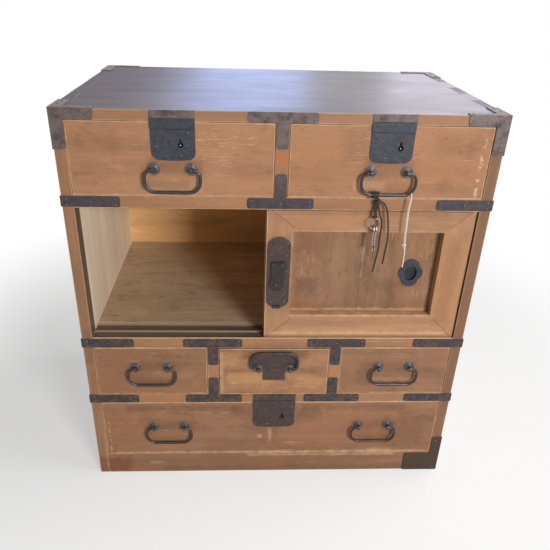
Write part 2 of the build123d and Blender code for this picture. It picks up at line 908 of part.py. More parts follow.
for name, centre, opening, floor, ceiling, face, bail_centres, bail_height, swing in drawers:
    pins = pin_places(bail_centres)
    pin_z = floor + bail_height
    on_backplate = swing == flipped_up
    front = drawer_front(name, centre, opening, floor, ceiling, face, pins, pin_z)
    write(front, f"{name}_drawer_front")
    write_group(drawer_box(centre, opening, floor, ceiling, face), f"{name}_drawer_box")

    posts = [cotter(x, face, pin_z) for x in pins]
    if on_backplate:
        write(backplate(centre, face, pin_z, pins), "handle_backplate")
        washer_face = face - iron_thickness
        posts += [
            rosette(x, washer_face, pin_z, small_rosette_radius, small_rosette_height) for x in pins
        ]
    else:
        posts += [rosette(x, face, pin_z, rosette_radius, rosette_height) for x in pins]
    write_group(posts, f"{name}_handle_posts")

    for x in bail_centres:
        place = name
        if name == "bottom":
            place = "bottom_left" if x < 0 else "bottom_right"
        write(bail(x, face, pin_z, swing), f"{place}_bail")

    if name in locks:
        write_group(lock_plate(locks[name], face), f"{name}_lock")

strikes = []
for lock in locks.values():
    x, width, height, ceiling, strike_top, _ = lock
    with BuildPart() as strike:
        with BuildSketch(at_depth(0)):
            patch((x - width / 2, x + width / 2), (lock_heights(height, ceiling)[2], strike_top))
        extrude(amount=iron_thickness)
    strikes.append(strike)
write_group(strikes, "lock_strikes")

# ================================================================ sliding doors
# The front door closes the right half. The rear one is its mirror image, one track back, and
# stands pushed to the right behind it, so the left half is open.
door_left = -door_overlap / 2
door_travel = inner_half - door_overlap / 2 - door_stop_clearance
door_tongue_right = inner_half - door_side_clearance
door_right = door_tongue_right - door_outer_rabbet
door_tongue_bottom = door_row_floor - sill_groove_depth + door_tongue_lift
door_bottom = door_tongue_bottom + door_foot_rabbet
door_tongue_top = upper_rail_z + door_tongue_rise
door_top = door_tongue_top - door_head_rabbet
light_left = door_left + meeting_stile_width
light_right = door_right - outer_stile_width
light_bottom = door_bottom + door_bottom_rail_height
light_top = door_top - door_top_rail_height
door_panel_seam_x = light_left + door_panel_seam_inset
pull_x = light_right - pull_inset
pull_z = light_bottom + pull_rise
door_plate_x = door_left + door_plate_inset
door_plate_bottom = door_bottom + door_plate_foot_margin
door_plate_top = door_top - door_plate_head_margin
latch_x = door_plate_x + latch_offset
latch_bottom = door_plate_bottom + latch_rise
latch_top = latch_bottom + latch_height
latch_boss_x = door_plate_x + latch_boss_offset
latch_boss_z = latch_bottom - latch_boss_drop


def door_member(face, corners, tongue):
    """One mitred member of a door frame, with its tongue and the groove for the panel."""
    with BuildPart() as member:
        with BuildSketch(at_depth(face)):
            with BuildLine():
                Polyline(*corners, close=True)
            make_face()
        extrude(amount=-door_thickness)
        if tongue:
            block(
                tongue[0],
                (face + door_tongue_front, face + door_tongue_front + door_tongue_thickness),
                tongue[1],
            )
        block(
            (light_left - door_panel_groove, light_right + door_panel_groove),
            (face + door_panel_recess, face + door_panel_recess + door_panel_thickness),
            (light_bottom - door_panel_groove, light_top + door_panel_groove),
            Mode.SUBTRACT,
        )
    return member


def door_frame(face):
    """Two stiles and two rails, mitred at the corners."""
    outer = {
        "foot_left": (door_left, door_bottom),
        "foot_right": (door_right, door_bottom),
        "head_left": (door_left, door_top),
        "head_right": (door_right, door_top),
    }
    inner = {
        "foot_left": (light_left, light_bottom),
        "foot_right": (light_right, light_bottom),
        "head_left": (light_left, light_top),
        "head_right": (light_right, light_top),
    }
    full_width = (door_left, door_tongue_right)
    members = (
        ("foot_left", "head_left", None),
        ("head_right", "foot_right", ((door_right, door_tongue_right), (door_bottom, door_top))),
        ("foot_right", "foot_left", (full_width, (door_tongue_bottom, door_bottom))),
        ("head_left", "head_right", (full_width, (door_top, door_tongue_top))),
    )
    return [
        door_member(face, (outer[a], outer[b], inner[b], inner[a]), tongue)
        for a, b, tongue in members
    ]


def pull_oval(wall):
    """The oval of the pull's cup, with its wall or without."""
    with Locations((pull_x, pull_z)):
        Ellipse(pull_cup_half_width + wall, pull_cup_half_height + wall)


def door_panel(face):
    """Two boards side by side, held in the frame's groove and bored for the pull."""
    reach = door_panel_groove - door_panel_clearance
    depth = (face + door_panel_recess, face + door_panel_recess + door_panel_thickness)
    heights = (light_bottom - reach, light_top + reach)
    boards = []
    for edges in (
        (light_left - reach, door_panel_seam_x - door_panel_seam / 2),
        (door_panel_seam_x + door_panel_seam / 2, light_right + reach),
    ):
        with BuildPart() as board:
            block(edges, depth, heights)
            with BuildSketch(at_depth(depth[0])):
                pull_oval(pull_cup_wall)
            extrude(amount=-door_panel_thickness, mode=Mode.SUBTRACT)
        boards.append(board)
    return boards


def door_pull(face):
    """A four-lobed finger plate with an oval cup let through the panel."""
    front = face + door_panel_recess
    with BuildPart() as pull:
        with BuildSketch(at_depth(front)):
            for dx, dz in ((0, 1), (0, -1), (1, 0), (-1, 0)):
                with Locations((pull_x + dx * pull_lobe_spread, pull_z + dz * pull_lobe_rise)):
                    Circle(pull_lobe_radius)
        extrude(amount=iron_thickness)
        with BuildSketch(at_depth(front)):
            pull_oval(pull_cup_wall)
        extrude(amount=-(pull_cup_depth + pull_cup_wall))
        with BuildSketch(at_depth(front - iron_thickness)):
            pull_oval(0.0)
        extrude(amount=-(iron_thickness + pull_cup_depth), mode=Mode.SUBTRACT)
    return pull


def obround(x, width, bottom, top, rise):
    """A plate outline with bowed ends."""
    left = x - width / 2
    right = x + width / 2
    with BuildLine() as outline:
        Line((left, bottom + rise), (left, top - rise))
        ThreePointArc((left, top - rise), (x, top), (right, top - rise))
        Line((right, top - rise), (right, bottom + rise))
        ThreePointArc((right, bottom + rise), (x, bottom), (left, bottom + rise))
    make_face(outline.line.edges())


front_door_face = door_face_setback
rear_door_face = door_face_setback + track_pitch
latch_middle = (latch_bottom + latch_top) / 2
neck = (
    (latch_x - latch_neck_width / 2, latch_x + latch_neck_width / 2),
    (latch_middle - latch_neck_height / 2, latch_middle + latch_neck_height / 2),
)
foot = (
    (latch_x - latch_foot_width / 2, latch_x + latch_foot_width / 2),
    (latch_middle - latch_foot_height / 2, latch_middle + latch_foot_height / 2),
)


def travel_space(x, z):
    """The room that a piece of the latch needs over its travel."""
    return (
        (x[0] - latch_clearance, x[1] + latch_clearance),
        (z[0] - latch_clearance, z[1] + latch_travel + latch_clearance),
    )


neck_space = travel_space(*neck)
foot_space = travel_space(*foot)
foot_depth = (
    front_door_face + latch_clearance,
    front_door_face + latch_clearance + latch_foot_thickness,
)

front_members = door_frame(front_door_face)
meeting_stile = front_members[0]
with BuildPart() as mortised_stile:
    add(meeting_stile.part)
    block(
        foot_space[0],
        (front_door_face, foot_depth[1] + latch_clearance),
        foot_space[1],
        Mode.SUBTRACT,
    )
write_group([mortised_stile, *front_members[1:]], "front_door_frame")
write_group(door_panel(front_door_face), "front_door_panel")
write(door_pull(front_door_face), "front_door_pull")

with BuildPart() as front_door_lock_plate:
    with BuildSketch(at_depth(front_door_face)):
        obround(door_plate_x, door_plate_width, door_plate_bottom, door_plate_top, door_plate_end_rise)
    extrude(amount=iron_thickness)
    block(
        neck_space[0],
        (front_door_face - iron_thickness, front_door_face),
        neck_space[1],
        Mode.SUBTRACT,
    )
write(front_door_lock_plate, "front_door_lock_plate")

latch_back = front_door_face - iron_thickness - latch_clearance
with BuildPart() as front_door_latch:
    with BuildSketch(at_depth(latch_back)):
        patch((latch_x - latch_width / 2, latch_x + latch_width / 2), (latch_bottom, latch_top))
        with Locations((latch_boss_x, latch_boss_z)):
            Circle(latch_boss_radius)
    extrude(amount=latch_thickness)
    block(neck[0], (latch_back, foot_depth[0]), neck[1])
    block(foot[0], foot_depth, foot[1])
write(front_door_latch, "front_door_latch")


def mirrored(pieces):
    """The same pieces for the door that closes to the left, pushed open to the right."""
    turned = []
    for piece in pieces:
        with BuildPart() as copy:
            mirror(piece.part, about=Plane.YZ.offset(door_travel / 2))
        turned.append(copy)
    return turned


write_group(mirrored(door_frame(rear_door_face)), "rear_door_frame")
write_group(mirrored(door_panel(rear_door_face)), "rear_door_panel")
write_group(mirrored([door_pull(rear_door_face)]), "rear_door_pull")

# ================================================================ keys and cords on a bail
grip_depth = drawer_setback - bail_pivot_stand_off
grip_z = upper_row_floor + row_bail_height - bail_drop
grip_x = upper_centres[1]
wrap_x = grip_x + wrap_offset
thong_knot_x = grip_x + thong_knot_offset
ring_knot_x = grip_x + ring_knot_offset
key_ring_x = grip_x + key_ring_offset
string_depth = grip_depth - bail_mid_radius - wrap_clearance - string_diameter / 2

# Offset along X from the middle of the bail's grip and drop below it, from the fastened end
# to the free one.
thong_route = [
    (-13.375, 16.5), (-10.375, 31.0), (-4.375, 44.0), (-2.475, 59.0),
    (-3.875, 77.0), (-3.275, 97.0), (-5.475, 120.0), (-9.675, 148.0),
]
tail_route = [
    (-11.375, 11.0), (-4.375, 13.5), (1.625, 22.0), (5.425, 35.0), (8.425, 54.0),
    (10.825, 73.0), (10.525, 90.0), (8.925, 107.0), (7.025, 131.0),
]
string_route = [
    (40.125, -5.5), (41.725, 3.0), (40.125, 17.0), (39.425, 32.0), (39.925, 50.0),
    (40.325, 68.0), (40.725, 85.0), (42.925, 101.0), (43.125, 118.0), (42.725, 135.0),
]


def corner_radii(points):
    """An easy radius for each corner of a route, limited by the shorter of its two runs."""
    radii = []
    for before, here, after in zip(points, points[1:], points[2:]):
        arriving = Vector(*here) - Vector(*before)
        leaving = Vector(*after) - Vector(*here)
        half_turn = math.radians(arriving.get_angle(leaving)) / 2
        radii.append(cord_bend_share * min(arriving.length, leaving.length) / math.tan(half_turn))
    return radii


def cord(route, depth, diameter, node):
    """A round cord along a route of straight runs and tangent arcs."""
    points = [(grip_x + offset, front_y + depth, grip_z - drop) for offset, drop in route]
    radii = corner_radii(points)
    print(node, "radii", [round(radius, 1) for radius in radii])
    with BuildPart() as tube:
        with BuildLine() as centreline:
            FilletPolyline(*points, radius=radii)
        path = centreline.wire()
        with BuildSketch(Plane(path @ 0, z_dir=path % 0)):
            Circle(diameter / 2)
        sweep(path=path)
    write(tube, node)


cord(thong_route, grip_depth, thong_diameter, "key_thong")
cord(tail_route, grip_depth, thong_diameter, "key_thong_tail")
cord(string_route, string_depth, string_diameter, "tag_string")


def on_grip(x, drop):
    """A point in the plane of the hanging bail."""
    return (x, front_y + grip_depth, grip_z - drop)


wrap_inner = bail_mid_radius + wrap_clearance
with BuildPart() as thong_knot:
    with BuildSketch(
        Plane(origin=on_grip(wrap_x - wrap_width / 2, 0), x_dir=(0, 1, 0), z_dir=(1, 0, 0))
    ):
        Circle(wrap_inner + wrap_thickness)
        Circle(wrap_inner, mode=Mode.SUBTRACT)
    extrude(amount=wrap_width)
    with Locations(on_grip(thong_knot_x, thong_knot_drop)):
        Sphere(thong_knot_radius)
    with Locations(on_grip(ring_knot_x, ring_knot_drop)):
        Sphere(ring_knot_radius)
    with BuildLine():
        Line(on_grip(thong_knot_x, thong_knot_drop), on_grip(ring_knot_x, ring_knot_drop))
    with BuildSketch(
        Plane(
            on_grip(thong_knot_x, thong_knot_drop),
            z_dir=(ring_knot_x - thong_knot_x, 0, thong_knot_drop - ring_knot_drop),
        )
    ):
        Circle(thong_diameter / 2)
    sweep()
write(thong_knot, "thong_knot")

key_pieces = []
with BuildPart() as key_ring:
    with Locations(Plane(origin=on_grip(key_ring_x, key_ring_drop), z_dir=(0, 1, 0))):
        Torus(key_ring_radius, key_ring_wire_radius)
key_pieces.append(key_ring)
for angle in key_angles:
    turn = math.radians(angle)
    key_x = key_ring_x + key_ring_radius * math.sin(turn)
    bow_drop = key_ring_drop + key_ring_radius * math.cos(turn) + key_bow_hang
    tip_drop = bow_drop + key_bow_radius + key_shank_length
    with BuildPart() as key:
        with BuildSketch(
            Plane(origin=on_grip(key_x - key_bow_thickness / 2, bow_drop), x_dir=(0, 1, 0), z_dir=(1, 0, 0))
        ):
            Circle(key_bow_radius)
            Circle(key_bow_hole_radius, mode=Mode.SUBTRACT)
        extrude(amount=key_bow_thickness)
        with BuildSketch(Plane(origin=on_grip(key_x, tip_drop), z_dir=(0, 0, 1))):
            Circle(key_shank_radius)
        extrude(
            amount=key_shank_length + key_bow_radius - key_bow_hole_radius - key_shank_shoulder
        )
        block(
            (key_x - key_bit_thickness / 2, key_x + key_bit_thickness / 2),
            (grip_depth - key_shank_radius - key_bit_length, grip_depth),
            (grip_z - tip_drop, grip_z - tip_drop + key_bit_height),
        )
    key_pieces.append(key)
write_group(key_pieces, "keys")
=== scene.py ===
"""Isho clothing chest: worn softwood, wrought iron, cords and keys over the fixed frame."""

import json
import math

import bmesh
import bpy
from bpy.props import FloatProperty, FloatVectorProperty, IntProperty, PointerProperty
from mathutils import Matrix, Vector

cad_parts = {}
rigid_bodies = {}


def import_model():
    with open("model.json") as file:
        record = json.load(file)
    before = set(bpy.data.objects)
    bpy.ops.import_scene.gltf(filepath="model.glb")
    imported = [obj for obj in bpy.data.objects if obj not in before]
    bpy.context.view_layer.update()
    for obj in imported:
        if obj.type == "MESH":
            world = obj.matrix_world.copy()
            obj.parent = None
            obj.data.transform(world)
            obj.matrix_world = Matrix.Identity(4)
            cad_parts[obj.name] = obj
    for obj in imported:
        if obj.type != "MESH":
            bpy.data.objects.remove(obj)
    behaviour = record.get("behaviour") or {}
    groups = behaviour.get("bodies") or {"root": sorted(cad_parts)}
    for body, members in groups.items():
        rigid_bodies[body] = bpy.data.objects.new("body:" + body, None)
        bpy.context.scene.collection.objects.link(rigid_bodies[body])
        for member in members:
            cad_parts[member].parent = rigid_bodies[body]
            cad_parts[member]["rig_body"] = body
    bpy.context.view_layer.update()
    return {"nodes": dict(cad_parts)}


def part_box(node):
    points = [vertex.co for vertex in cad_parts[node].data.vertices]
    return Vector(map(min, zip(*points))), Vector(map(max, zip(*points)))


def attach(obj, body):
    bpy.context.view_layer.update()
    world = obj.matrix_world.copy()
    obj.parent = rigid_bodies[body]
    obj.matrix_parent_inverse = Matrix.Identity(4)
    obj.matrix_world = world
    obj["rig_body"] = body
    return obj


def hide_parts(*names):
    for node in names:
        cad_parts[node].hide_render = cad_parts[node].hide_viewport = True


bl_info = {
    "name": "Isho Clothing Chest",
    "version": (1, 0, 0),
    "blender": (4, 5, 0),
    "location": "View3D > Sidebar > Chest",
    "description": "Dresses a joined clothing chest in worn wood, wrought iron and cord",
    "category": "Object",
}

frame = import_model()

MM = 0.001

# Planes and heights in millimetres. The front faces -Y.
CASE_HALF_WIDTH = 370.0
CASE_HEIGHT = 786.0
FRONT_Y = -225.0
IRON = 1.6
IRON_FACE = FRONT_Y - IRON
DRAWER_FACE = FRONT_Y + 1.0
PROUD_FACE = FRONT_Y - 2.5
DOOR_PLATE_FACE = FRONT_Y + 2.0 - IRON
LATCH_FACE = FRONT_Y - 2.9
RAIL_MIDDLES = (205.25, 341.25, 630.75)
LOWER_RAIL, MIDDLE_RAIL, UPPER_RAIL = RAIL_MIDDLES
DIVIDERS = (-120.58, 120.58)
SIDES = (-1, 1)

# The grip of the upper right bail, which the thong is tied round, and the plane of the string.
GRIP_Y = -233.0
GRIP_Z = 651.0
GRIP_RADIUS = 3.3
STRING_Y = -237.7

DRAWERS = ("upper_left", "upper_right", "lower_left", "lower_middle", "lower_right", "bottom")

# Each bail: the middle and height of its two cotter pins, and the body that it hangs on.
BAILS = {
    "upper_left": (-180.875, 689.0, "upper_left_drawer"),
    "upper_right": (180.875, 689.0, "upper_right_drawer"),
    "lower_left": (-241.167, 283.0, "lower_left_drawer"),
    "lower_middle": (0.0, 283.0, "lower_middle_drawer"),
    "lower_right": (241.167, 283.0, "lower_right_drawer"),
    "bottom_left": (-215.0, 130.3, "bottom_drawer"),
    "bottom_right": (215.0, 130.3, "bottom_drawer"),
}
PIN_HALF_SPACING = 31.0
WASHER = 11.0 * MM
SMALL_WASHER = 8.0 * MM


# ---- node graphs
def arithmetic(operation, turned=False):
    """A method that adds a Math node. A reflected operator has its operands turned round."""

    def method(self, other=0.0):
        first, second = (other, self) if turned else (self, other)
        return self.graph.node("ShaderNodeMath", {"operation": operation}, {0: first, 1: second})

    return method


class Value:
    """An output socket that reads as arithmetic."""

    def __init__(self, graph, socket):
        self.graph = graph
        self.socket = socket

    __add__ = __radd__ = arithmetic("ADD")
    __mul__ = __rmul__ = arithmetic("MULTIPLY")
    __sub__ = arithmetic("SUBTRACT")
    __rsub__ = arithmetic("SUBTRACT", turned=True)
    __truediv__ = arithmetic("DIVIDE")
    __rtruediv__ = arithmetic("DIVIDE", turned=True)
    __pow__ = arithmetic("POWER")
    __rpow__ = arithmetic("POWER", turned=True)
    least = arithmetic("MINIMUM")
    most = arithmetic("MAXIMUM")
    size = arithmetic("ABSOLUTE")


class Graph:
    """Builds a node tree with one call for each node."""

    def __init__(self, tree):
        self.tree = tree

    def node(self, kind, settings=None, values=None, output=0):
        made = self.tree.nodes.new(kind)
        for name, setting in (settings or {}).items():
            setattr(made, name, setting)
        for key, value in (values or {}).items():
            if isinstance(value, Value):
                self.tree.links.new(value.socket, made.inputs[key])
            else:
                made.inputs[key].default_value = value
        return Value(self, made.outputs[output]) if len(made.outputs) else made


class Finish(Graph):
    """A material under construction. Its colour is built up in layers."""

    def __init__(self, name):
        self.material = bpy.data.materials.new(name)
        self.material.use_nodes = True
        self.material.node_tree.nodes.clear()
        super().__init__(self.material.node_tree)
        self.colour = None
        self.place = self.node("ShaderNodeTexCoord", output=3)
        self.grain_place = self.place
        parts = self.tree.nodes.new("ShaderNodeSeparateXYZ")
        self.tree.links.new(self.place.socket, parts.inputs[0])
        self.x, self.y, self.z = (Value(self, output) for output in parts.outputs)

    def grain(self, scale, detail=3.0, roughness=0.55, distortion=0.0):
        """Noise in the piece's own space, in features a metre: one scale, or one for each axis."""
        if not isinstance(scale, tuple):
            scale = (scale, scale, scale)
        at = self.node("ShaderNodeMapping", None, {0: self.grain_place, 3: scale})
        values = {"Vector": at, "Scale": 1.0, "Detail": detail, "Roughness": roughness}
        return self.node("ShaderNodeTexNoise", None, {**values, "Distortion": distortion})

    def step(self, value, low, high):
        """0 at low, 1 at high and smooth between them. Low may be the greater."""
        ends = {1: low, 2: high, 3: 0.0, 4: 1.0}
        return self.node("ShaderNodeMapRange", {"interpolation_type": "SMOOTHSTEP"}, {0: value, **ends})

    def blend(self, factor, first, second):
        return self.node("ShaderNodeMix", {"data_type": "RGBA"}, {0: factor, 6: first, 7: second}, output=2)

    def lay(self, mask, tone):
        """Lay a tone over the colour so far, as much as the mask says."""
        self.colour = self.blend(mask, self.colour, tone)

    def patch(self, x, z, half_x, half_z, soft, waver=0.0):
        """1 on a rectangle of the front, fading out over the soft distance, in millimetres.

        The waver, in metres, moves its edge in and out.
        """
        across = (self.x - x * MM).size() - half_x * MM
        up = (self.z - z * MM).size() - half_z * MM
        return self.step(across.most(up) + waver, soft * MM, -soft * MM)

    def edge(self, box):
        """Distance in metres to the nearest edge of a box, on its surface."""
        gaps = []
        for index, here in enumerate((self.x, self.y, self.z)):
            gaps.append((here - box[0][index]).size().least((here - box[1][index]).size()))
        a, b, c = gaps
        return a.least(b).most(a.most(b).least(c))

    def surface(self, roughness, height, depth, constants):
        """The closing shader, with its relief in metres and its constant inputs."""
        bump = self.node("ShaderNodeBump", None, {"Strength": 1.0, "Distance": depth, "Height": height})
        values = {"Base Color": self.colour, "Roughness": roughness, "Normal": bump, **constants}
        shader = self.node("ShaderNodeBsdfPrincipled", None, values)
        self.node("ShaderNodeOutputMaterial", None, {0: shader})
        return self.material


def linear(red, green, blue):
    """A screen colour of 0 to 255 as the linear colour that a shader reads."""

    def channel(value):
        share = value / 255
        return share / 12.92 if share <= 0.04045 else ((share + 0.055) / 1.055) ** 2.4

    return (channel(red), channel(green), channel(blue), 1.0)


def shade(tone, share):
    """A colour made lighter or darker by a share."""
    return tuple(min(1.0, channel * share) for channel in tone[:3]) + (1.0,)


# ---- settings
def colour_property(name, description, *screen):
    """A colour given as on the screen, in 0 to 255."""
    tone = linear(*screen)[:3]
    return FloatVectorProperty(
        name=name, description=description, subtype="COLOR", size=3, min=0, max=1, default=tone
    )


def length_property(name, description, default, least=0.0):
    """A length given in millimetres."""
    return FloatProperty(
        name=name, description=description, default=default * MM, min=least * MM, unit="LENGTH"
    )


class ChestWood(bpy.types.PropertyGroup):
    front_tone: colour_property("Fronts", "Finish of the drawer fronts", 164, 118, 86)
    door_tone: colour_property("Doors", "Worn finish of the sliding doors", 170, 126, 92)
    case_tone: colour_property("Sides and rails", "Finish of the rails and sides", 156, 111, 78)
    bare_tone: colour_property("Bare wood", "Unfinished wood inside", 252, 232, 204)
    worn_tone: colour_property("Worn edge", "Wood where the finish is rubbed through", 226, 192, 150)
    arris: length_property("Arris", "Rounding of the wooden edges", 0.9)


class ChestIron(bpy.types.PropertyGroup):
    plate_tone: colour_property("Plates", "Blackened iron", 54, 52, 59)
    rust_tone: colour_property("Rust", "Rust bloom on the iron", 92, 68, 54)
    nail_radius: length_property("Nail head", "Radius of a nail head", 1.8, 0.2)
    nail_rise: length_property("Nail rise", "Height of a nail head", 1.2, 0.1)
    edge: length_property("Edge", "Rounding of the iron's edges", 0.35)
    seed: IntProperty(name="Seed", description="Unevenness of the nail heads", default=7, min=0)


class ChestCords(bpy.types.PropertyGroup):
    thong: length_property("Thong", "Diameter of the key thong", 3.0, 0.5)
    string: length_property("String", "Diameter of the tag string", 2.2, 0.5)


# ---- finishes
# What a mark on the wood is: its colour, and how far it follows the scratches along the grain. A smudge is
# dirt in some places and a painted shadow in others, and a hole is painted shade.
MARKS = {
    "rubbed": (linear(214, 176, 138), 0.0),
    "scratched": (linear(226, 190, 150), 1.0),
    "smudge_and_shadow": (linear(84, 56, 40), 0.0),
    "rust": (linear(118, 68, 42), 0.0),
    "ochre": (linear(206, 162, 106), 0.45),
    "knot": (linear(178, 100, 56), 0.0),
    "flaked": (linear(232, 206, 172), 0.0),
    # A hole is painted shade: the dark inside of a keyhole behind its lock plate.
    "keyhole_shade": (linear(10, 8, 8), 0.0),
}
# The heights in metres between which the gloss of the top begins, and the depths of the relief.
TOP_FACE = (0.784, 0.7845)
WOOD_RELIEF = 0.35 * MM
IRON_RELIEF = 0.4 * MM

DUST = linear(128, 108, 102)
FOOT_RUST = linear(66, 46, 30)
# The tone of the painted shade lines under the locks' raised bands.
PAINTED_SHADE = linear(16, 15, 17)
# Painted shade in the pull's hollow, tinted slightly green.
RECESS_SHADE = linear(20, 26, 24)


def wood(
    name, grain_axis, tone, box=None, *, wear=0.5, gloss=0.5, stain=0.4, scuff=0.35, marks=(), over=(),
    mitre=None, dull=None, dull_share=0.4, specular=0.32, face=None, reach=12.0,
):
    """Old softwood with its finish: grain, blotches, scratches along the grain and rubbed edges.

    Each mark is (kind, x, z, half width, half height, strength), in millimetres. Marks lie on the box's front,
    or on the face at a Y in metres, and reach back from it. Only a piece with a box has rubbed edges. Each
    entry of over is a mask's function and its tone. A mitre is (box, widths), and turns the grain. Dull is the
    places along X between which the top's gloss is lost, by dull_share.
    """
    worn_tone = (*bpy.context.scene.chest_wood.worn_tone, 1.0)
    finish = Finish(name)
    join = None
    if mitre is not None:
        rail, join = mitred(finish, *mitre)
        upright = finish.node("ShaderNodeCombineXYZ", None, {0: finish.z, 1: finish.y, 2: finish.x})
        finish.grain_place = finish.node(
            "ShaderNodeMix", {"data_type": "VECTOR"}, {0: rail, 4: upright, 5: finish.place}, output=1
        )

    def along(fine, coarse):
        return tuple(coarse if index == grain_axis else fine for index in range(3))

    bands = finish.grain(along(38.0, 2.6), 3.0, 0.55, 0.6)
    fibres = finish.grain(along(540.0, 16.0), 3.0, 0.65)
    patches = finish.grain(along(17.0, 9.0), 4.0, 0.62, 0.4)
    blotches = finish.grain(along(7.0, 3.6), 2.0, 0.5, 0.2)
    flecks = finish.grain(along(120.0, 46.0), 4.0, 0.72)
    banded = finish.step(bands, 0.3, 0.7)
    finish.colour = finish.blend(banded, shade(tone, 0.83), shade(tone, 1.06))
    warm = (min(1.0, tone[0] * 1.12), tone[1] * 0.98, tone[2] * 0.8, 1.0)
    for noise, low, high, strength, other in (
        (blotches, 0.42, 0.66, 0.5, warm),
        (fibres, 0.45, 0.78, 0.3, shade(tone, 1.4)),
        (patches, 0.52, 0.74, stain, shade(tone, 0.56)),
        (patches, 0.45, 0.27, 0.7 * stain, shade(tone, 1.36)),
        (flecks, 0.54, 0.72, 0.75 * stain, shade(tone, 0.5)),
        (flecks, 0.42, 0.26, 0.5 * stain, shade(tone, 1.4)),
    ):
        finish.lay(finish.step(noise, low, high) * strength, other)
    for mask, other in over:
        finish.lay(mask(finish), finish.blend(banded, shade(other, 0.86), other))
    if join is not None:
        finish.lay(join * 0.75, shade(tone, 0.3))
    where = finish.step(finish.grain(13.0, 2.0), 0.52, 0.64)
    scratches = finish.step(finish.grain(along(300.0, 15.0), 4.0, 0.7), 0.6, 0.69)
    specks = finish.step(finish.grain(330.0, 1.0), 0.735, 0.77)
    for worn in (scratches, specks):
        finish.lay(worn * where * scuff, worn_tone)
    ragged = finish.grain(70.0, 4.0, 0.65)
    if marks:
        front = box[0][1] if face is None else face
        fronted = finish.step(finish.y, front + (reach + 0.5) * MM, front + reach * MM)
        scrapes = finish.step(finish.grain(along(640.0, 52.0), 4.0, 0.8), 0.52, 0.68) * 0.6
        for kind, x, z, half_x, half_z, strength in marks:
            mark_tone, follows = MARKS[kind]
            soft = 0.45 * min(half_x, half_z) + 3.0
            mask = finish.patch(x, z, half_x, half_z, soft, (ragged - 0.5) * (3.4 * soft * MM))
            if follows:
                mask = mask * (scrapes * follows + (1.0 - follows))
            if kind == "flaked":
                mask = mask * finish.step(ragged, 0.5, 0.58)
            finish.lay(mask * fronted * strength, mark_tone)
    if box is not None:
        rubbed = finish.step(finish.edge(box) + (ragged - 0.5) * (3.4 * MM), 1.9 * MM, 0.5 * MM)
        finish.lay(rubbed * (patches * 1.2 + 0.05) * wear, worn_tone)
    roughness = fibres * 0.16 + patches * 0.16 + (gloss - 0.16)
    if dull is not None:
        roughness = roughness + finish.step(finish.x, *dull) * finish.step(finish.z, *TOP_FACE) * dull_share
    height = fibres * 0.5 + bands * 0.5 + patches * 0.3
    return finish.surface(roughness, height, WOOD_RELIEF, {"Specular IOR Level": specular})


def mitred(finish, box, widths):
    """Where a frame's rails lie, and its mitre joints. Widths are left, right, foot and head, in metres."""
    left, right, foot, head = widths
    across = ((finish.x - box[0][0]) / left).least((box[1][0] - finish.x) / right)
    up = ((finish.z - box[0][2]) / foot).least((box[1][2] - finish.z) / head)
    apart = across - up
    outside = finish.step(across.least(up), 1.04, 1.0)
    return finish.step(apart, -0.005, 0.005), finish.step(apart.size(), 0.03, 0.012) * outside


def iron(
    name, tone, rust, rust_share=0.4, *, roughness=0.46, metal=0.35, low_rust=0.0, shade_lines=(), shaded_hollow=(),
    dusty=0.0,
):
    """Hand-beaten iron: mottled, pitted, with rust bloom that may grow towards the floor.

    Each seam is (x, z, half width, half height) of a painted line of shade under a raised edge, and each
    hollow is (x, z, radius) of a round recess darkened with painted shade, in millimetres.
    """
    finish = Finish(name)
    clouds = finish.grain(52.0, 4.0, 0.65, 0.3)
    beaten = finish.grain(170.0, 3.0, 0.6)
    pits = finish.grain(620.0, 2.0, 0.6)
    finish.colour = finish.blend(finish.step(beaten, 0.3, 0.7), shade(tone, 0.74), shade(tone, 1.1))
    finish.lay(finish.step(clouds, 0.56, 0.76) * 0.4, shade(tone, 1.35))
    share = finish.step(finish.z, 0.62, 0.3) * low_rust + rust_share
    finish.lay(finish.step(clouds, 0.62, 0.42) * finish.step(beaten, 0.36, 0.58) * share, shade(rust, 1.0))
    finish.lay(finish.step(pits, 0.64, 0.76) * 0.22, shade(rust, 1.7))
    if dusty:
        finish.lay(finish.step(finish.z, 0.6, 0.775) * finish.step(clouds, 0.3, 0.6) * dusty, DUST)
    if low_rust:
        finish.lay(finish.step(finish.z, 0.118, 0.1) * 0.95, FOOT_RUST)
    # Painted shade: a dark line under each raised band.
    for shade_line in shade_lines:
        finish.lay(finish.patch(*shade_line, 0.5) * 0.85, PAINTED_SHADE)
    # Painted shade: darkens the round hollow of the pull.
    for x, z, radius in shaded_hollow:
        across, up = finish.x - x * MM, finish.z - z * MM
        reach = (across * across + up * up) ** 0.5
        finish.lay(finish.step(reach, radius * MM, (radius - 1.2) * MM) * 0.8, RECESS_SHADE)
    sheen = pits * 0.16 + clouds * 0.2 + (roughness - 0.18)
    return finish.surface(sheen, beaten * 1.4 + pits * 0.4 + clouds, IRON_RELIEF, {"Metallic": metal})


def plain(name, tone, roughness, metal=0.0, ripple=500.0, depth=0.2 * MM):
    """A small piece's finish: one tone that varies a little, with fine relief."""
    finish = Finish(name)
    specks = finish.grain(ripple, 3.0, 0.6)
    finish.colour = finish.blend(finish.step(specks, 0.3, 0.7), shade(tone, 0.6), shade(tone, 1.0))
    return finish.surface(specks * 0.2 + (roughness - 0.1), specks, depth, {"Metallic": metal})


# ---- making meshes
IRON_CORNER_RADIUS = 4.5 * MM


def linked(name, data):
    """An object of the scene that shows some data."""
    piece = bpy.data.objects.new(name, data)
    bpy.context.scene.collection.objects.link(piece)
    return piece


def closed(shape, name):
    """A mesh with a working shape, which is freed."""
    mesh = bpy.data.meshes.new(name)
    shape.to_mesh(mesh)
    shape.free()
    return mesh


def finished_mesh(piece):
    """A piece's mesh with its modifiers carried out."""
    return bpy.data.meshes.new_from_object(piece.evaluated_get(bpy.context.evaluated_depsgraph_get()))


